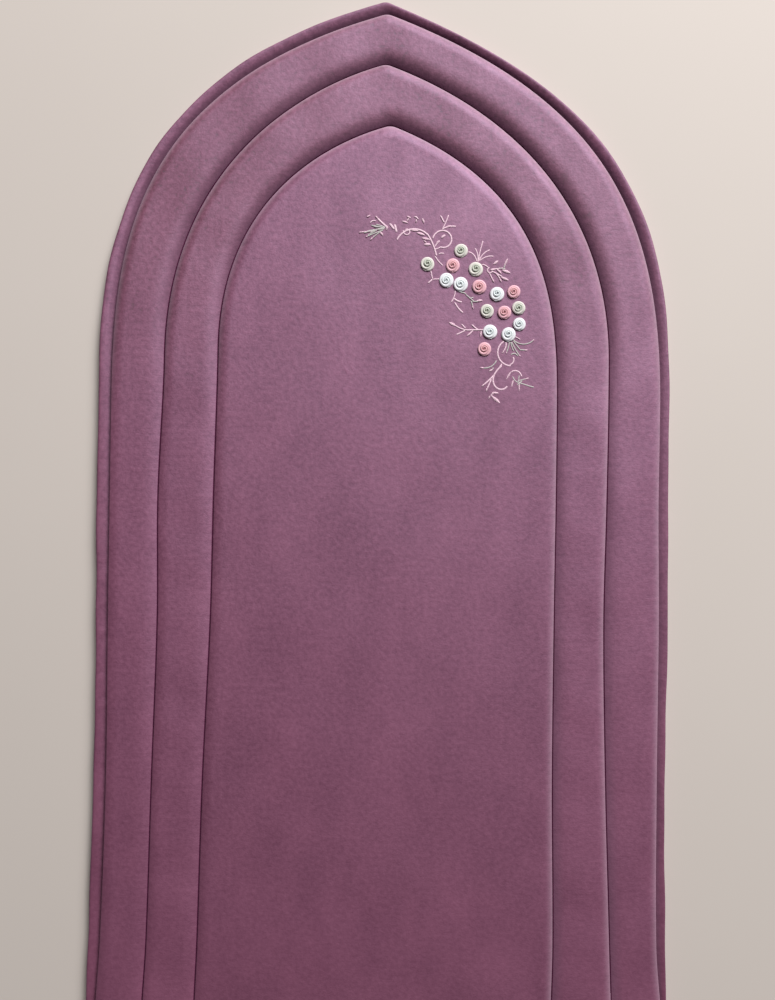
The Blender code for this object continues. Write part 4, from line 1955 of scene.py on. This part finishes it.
@dataclass
class Embroidery:
    """The stitched stems, leaves and buds on the centre panel.

    Attributes:
        sprigs: What is stitched.
        stitch: Length of a stitch in a stem.
        overlap: Share of it that the next stitch overlaps.
        least_stitch: Share of a stitch that is left over at a stem's end without a new one.
        lean: How far a stitch leans over its stem, as a share of the stem's width.
        stem_strand: Width of its strand, as a share of the stem's width.
        unevenness: How much higher every second stitch is.
        lift: How far a strand's underside is over the cloth.
        height: Height of a strand.
        dip: How far a strand's ends go into the cloth.
        sides: Faces round a strand.
        knots: Rings along a strand, without its two ends.
        swell_span: Which part of half a wave a strand swells by, from 0 to 1.
        swell_power: How blunt its ends are: less is blunter.
        strand: Distance between the strands of a leaf.
        strand_overlap: Width of a strand as a share of that distance.
        leaf_slant: How far a leaf's strands slant, as a share of half its width.
        leaf_span: Start and length of the part of half a wave that a leaf's width follows.
        leaf_power: How blunt a leaf's ends are: less is blunter.
        leaf_height: Height of a leaf's strands at its ends, and what its middle adds, as shares of height.
        tip_length: Length of a bud.
        tip_width: Width of a bud.
        tip_reach: How far a bud's middle is past its stem, as a share of its length.
        knot_size: Length and width of a knot, as shares of a bud's.
    """

    sprigs: tuple[Sprig, ...] = SPRIGS
    stitch: float = 0.0034
    overlap: float = 0.55
    least_stitch: float = 0.4
    lean: float = 0.22
    stem_strand: float = 0.90
    unevenness: float = 0.15
    lift: float = 0.0001
    height: float = 0.0004
    dip: float = 0.0004
    sides: int = 6
    knots: int = 5
    swell_span: Point = (0.06, 0.94)
    swell_power: float = 0.45
    strand: float = 0.00055
    strand_overlap: float = 1.35
    leaf_slant: float = 0.55
    leaf_span: Point = (0.06, 0.92)
    leaf_power: float = 0.75
    leaf_height: Point = (0.8, 0.9)
    tip_length: float = 0.0040
    tip_width: float = 0.0019
    tip_reach: float = 0.35
    knot_size: Point = (0.55, 0.9)

    def _thread(self, draft: Draft, start: np.ndarray, end: np.ndarray, width: float, height: float) -> None:
        """Lays one stitch: a soft strand that rises from the cloth, runs over it and goes back in.

        Args:
            draft: The draft that gets it.
            start: X and Y of the first hole.
            end: X and Y of the second hole.
            width: Width of the strand.
            height: How far its middle stands above the cloth.
        """
        run = end - start
        length = max(float(np.hypot(*run)), 1e-6)
        side = np.array((-run[1], run[0])) / length
        share = np.linspace(0, 1, self.knots + 2)[:, None]
        swell = np.sin(math.pi * np.clip(share, *self.swell_span)) ** self.swell_power
        angle = np.linspace(0, 2 * math.pi, self.sides, endpoint=False)[None, :]
        offset = np.cos(angle) * width / 2 * swell
        plan = start + run * share
        x = plan[:, :1] + side[0] * offset
        y = plan[:, 1:] + side[1] * offset
        z = RUG.crown_z + self.lift + height * swell * (0.5 + 0.5 * np.sin(angle)) - self.dip * (1 - swell)
        along = np.repeat(share * length, self.sides, axis=1)
        across = np.repeat(np.linspace(0, width * 2, self.sides)[None, :], len(share), axis=0)
        grid = draft.add(np.dstack((x, y, z)), np.dstack((along, across)))
        draft.weave(grid, wrap=True)
        draft.fill(grid[0])
        draft.fill(grid[-1][::-1])

    def _stem(self, draft: Draft, stem: Stem) -> None:
        """Works a stroke in stem stitch: short stitches that overlap, each a little askew.

        Args:
            draft: The draft that gets it.
            stem: The stroke.
        """
        path = stem.path()
        length = stem.length * MM
        width = stem.width * MM
        step = self.stitch * (1 - self.overlap)
        starts = np.arange(0, max(length - self.stitch * self.least_stitch, step), step)
        places = np.linspace(0, length, len(path))
        for number, begin in enumerate(starts):
            ends = np.clip((begin, begin + self.stitch), 0, length)
            first, second = place_on(path, places, ends)
            heading = np.interp(ends.mean(), places, path[:, 2])
            side = np.array((-math.sin(heading), math.cos(heading))) * width * self.lean
            height = self.height * (1 + self.unevenness * (number % 2))
            self._thread(draft, first - side, second + side, width * self.stem_strand, height)

    def _leaf(self, draft: Draft, leaf: Leaf) -> None:
        """Works a leaf in satin stitch: strands side by side along it, bowed to its outline.

        Args:
            draft: The draft that gets it.
            leaf: The leaf.
        """
        length = leaf.length * MM
        heading = math.radians(leaf.heading)
        ahead = np.array((math.cos(heading), math.sin(heading)))
        side = np.array((-ahead[1], ahead[0]))
        middle = np.array((leaf.x, leaf.y)) * MM
        count = max(int(round(length / self.strand)), 4)
        for number in range(count):
            share = (number + 0.5) / count
            bowed = min(share * self.leaf_span[1] + self.leaf_span[0], 1)
            half = leaf.width * MM / 2 * math.sin(math.pi * bowed) ** self.leaf_power
            spot = middle + ahead * (share - 0.5) * length
            slant = ahead * half * self.leaf_slant
            height = self.height * (self.leaf_height[0] + self.leaf_height[1] * math.sin(math.pi * share))
            ends = (spot - side * half - slant, spot + side * half + slant)
            self._thread(draft, *ends, self.strand * self.strand_overlap, height)

    def _tip(self, draft: Draft, stem: Stem) -> None:
        """Finishes a stroke with a small knot or a bud.

        Args:
            draft: The draft that gets it.
            stem: The stroke.
        """
        x, y, heading = stem.path()[-1]
        small, slim = self.knot_size if stem.tip is Tip.KNOT else (1.0, 1.0)
        length = self.tip_length * small / MM
        width = self.tip_width * slim / MM
        reach = length * self.tip_reach * MM
        spot = (x + math.cos(heading) * reach, y + math.sin(heading) * reach)
        self._leaf(draft, Leaf(spot[0] / MM, spot[1] / MM, math.degrees(heading), length, width))

    def build(self, threads: dict[Tone, Material]) -> None:
        """Stitches every sprig, with one piece for each of its thread colours.

        Args:
            threads: The finish of each thread.
        """
        for sprig in self.sprigs:
            drafts = {tone: Draft() for tone in threads}
            for stem in sprig.stems:
                self._stem(drafts[stem.tone], stem)
                if stem.tip is not Tip.PLAIN:
                    self._tip(drafts[PINK], stem)
            for leaf in sprig.leaves:
                self._leaf(drafts[leaf.tone], leaf)
            for tone, draft in drafts.items():
                if draft.count:
                    piece = draft.to_object(f"{sprig.name}_{tone.value}", threads[tone], sharp=80)
                    enter(piece)


# ---------------------------------------------------------------------------------------------------
# Stage
# ---------------------------------------------------------------------------------------------------


@dataclass
class Stage:
    """The floor, the lights and the camera.

    Attributes:
        floor_size: Length and width of the floor.
        floor_z: Its height, just under the rug.
        camera_at: Place of the camera.
        camera_roll: How far it is turned about its line of sight.
        view_high: Angle of its view, from the foot to the top of the picture.
        sensor: Width of its sensor in millimetres.
        window_at: Place of the window.
        window_aim: Where it faces.
        window_size: Its two sides.
        window_power: Its power in watts.
        window_colour: Colour of its light.
        room_strength: Strength of the room's even light.
        room_colour: Colour of that light.
    """

    floor_size: float = 14.0
    floor_z: float = -0.0002
    camera_at: tuple[float, float, float] = (0.0062, 0.0423, 0.941)
    camera_roll: float = 0.69
    view_high: float = 62.0
    sensor: float = 36.0
    window_at: tuple[float, float, float] = (2.05, 4.08, 3.55)
    window_aim: tuple[float, float, float] = (0.0, 0.05, 0.0)
    window_size: Point = (3.4, 3.0)
    window_power: float = 510.0
    window_colour: Colour = (1.0, 0.985, 0.97)
    room_strength: float = 0.075
    room_colour: Colour = (1.0, 0.98, 0.97)

    def build(self) -> None:
        """Sets the scene up."""
        self._floor()
        self._camera()
        self._window()
        self._room()
        bpy.context.scene.view_settings.view_transform = "Standard"

    def _floor(self) -> None:
        """Lays a plain pale floor."""
        half = self.floor_size / 2
        corners = np.array([[(x, y, self.floor_z) for x in (-half, half)] for y in (-half, half)])
        draft = Draft()
        draft.weave(draft.add(corners)[::-1])
        floor = draft.to_object("floor", FloorFinish().build())

    def _camera(self) -> None:
        """Hangs the camera over the rug, looking straight down."""
        lens = bpy.data.cameras.new("camera")
        lens.sensor_width = self.sensor
        lens.lens = self.sensor / 2 / math.tan(math.radians(self.view_high / 2))
        camera = bpy.data.objects.new("camera", lens)
        camera.location = self.camera_at
        camera.rotation_euler = (0, 0, math.radians(self.camera_roll))
        bpy.context.scene.collection.objects.link(camera)
        bpy.context.scene.camera = camera

    def _window(self) -> None:
        """Sets a broad soft light beyond the point of the arch, to the right."""
        light = bpy.data.lights.new("window", "AREA")
        light.shape = "RECTANGLE"
        light.size, light.size_y = self.window_size
        light.energy = self.window_power
        light.color = self.window_colour
        lamp = bpy.data.objects.new("window", light)
        lamp.location = self.window_at
        aim = Vector(self.window_aim) - lamp.location
        lamp.rotation_euler = aim.to_track_quat("-Z", "Y").to_euler()
        bpy.context.scene.collection.objects.link(lamp)

    def _room(self) -> None:
        """Adds even light from the room."""
        world = bpy.data.worlds.new("room")
        world.use_nodes = True
        background = world.node_tree.nodes["Background"]
        background.inputs["Color"].default_value = (*self.room_colour, 1)
        background.inputs["Strength"].default_value = self.room_strength
        bpy.context.scene.world = world


# ---------------------------------------------------------------------------------------------------
# Whole rug
# ---------------------------------------------------------------------------------------------------

# The rolled edge gets no painted rim highlight.
EDGE_VELVET = VelvetFinish("edge_velvet", rim_highlight_gain=0.0, gloss_ior=1.88)
# Band dyes, a little lighter than the panel's as painted light, and their share of painted shade in the
# arch.
BAND_DYES_AND_SHADE = {"deep": (0.165, 0.027, 0.066), "worn": (0.187, 0.035, 0.079), "arch_shade": 0.75}
PANEL_VELVET = VelvetFinish("centre_panel_velvet", rib=0.3)
BANDS = (
    # node, outer seam, inner seam, seed
    ("outer_band", FIRST_SEAM, SECOND_SEAM, 17),
    ("middle_band", SECOND_SEAM, THIRD_SEAM, 23),
)
RIBBON_COLOURS = {
    # lip, heart and painted shade in the folds
    Tone.WHITE: ((0.86, 0.86, 0.91), (0.78, 0.83, 0.85), (0.56, 0.66, 0.68)),
    Tone.PINK: ((0.84, 0.47, 0.55), (0.74, 0.40, 0.44), (0.44, 0.18, 0.18)),
    Tone.SAGE: ((0.76, 0.72, 0.68), (0.56, 0.59, 0.51), (0.27, 0.31, 0.24)),
}
THREAD_COLOURS = {
    # pale and dark filaments
    Tone.PINK: ((0.90, 0.66, 0.77), (0.74, 0.47, 0.59)),
    Tone.SAGE: ((0.60, 0.56, 0.55), (0.40, 0.38, 0.37)),
}


@dataclass
class PrayerRug:
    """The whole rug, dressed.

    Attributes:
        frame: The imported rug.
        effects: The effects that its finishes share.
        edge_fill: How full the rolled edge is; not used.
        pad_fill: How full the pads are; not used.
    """

    frame: dict
    effects: Effects = field(default_factory=Effects)
    edge_fill: float = 0.5
    pad_fill: float = 0.8

    def _slots(self) -> dict[str, str]:
        """The record's material slot of each CAD node."""
        return {part["node"]: part["material_slot"] for part in self.frame["record"]["subparts"]}

    def _velvet(self, slots: dict[str, str]) -> None:
        """Makes the rolled edge, the two bands and the centre panel.

        Args:
            slots: The slot of each node; not used.
        """
        # Painted shade for the faces down in the seams.
        crease_shade = CreaseShadeFinish().build(self.effects)
        edge = RolledEdge(EDGE, FIRST_SEAM).build(EDGE_VELVET.build(self.effects), crease_shade)
        enter(edge, "backing")
        for node, outer, inner, seed in BANDS:
            velvet = VelvetFinish(f"{node}_velvet", **BAND_DYES_AND_SHADE).build(self.effects)
            band = PaddedBand(f"{node}_pad", outer, inner, seed).build(velvet, crease_shade)
            enter(band, node)
        panel = CentrePanel(THIRD_SEAM).build(PANEL_VELVET.build(self.effects), crease_shade)
        enter(panel, "centre_panel")

    def _roses(self, slots: dict[str, str]) -> None:
        """Makes the roses, each in the ribbon that the record gives its node.

        Args:
            slots: The slot of each node.
        """
        ribbons = {}
        for tone, colours in RIBBON_COLOURS.items():
            name = f"ribbon_{tone.value}"
            ribbons[name] = RibbonFinish(name, *colours).build(self.effects)
        for number, tuck in enumerate(ROSE_TUCKS, start=1):
            node = f"rosette_{number:02d}"
            rose = RibbonRose(node, tuck).build(ribbons[slots[node]])
            enter(rose, node)

    def _embroidery(self) -> None:
        """Stitches the embroidery."""
        threads = {}
        for tone, colours in THREAD_COLOURS.items():
            threads[tone] = ThreadFinish(f"{tone.value}_thread", *colours).build(self.effects)
        Embroidery().build(threads)

    def build(self) -> None:
        """Makes every piece."""
        slots = self._slots()
        self._velvet(slots)
        self._roses(slots)
        self._embroidery()


def main() -> None:
    """Builds the rug round its frame, then the stage."""
    logging.basicConfig(level=logging.INFO, format="%(message)s")
    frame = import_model()
    PrayerRug(frame).build()
    Stage().build()


if __name__ == "__main__":
    main()
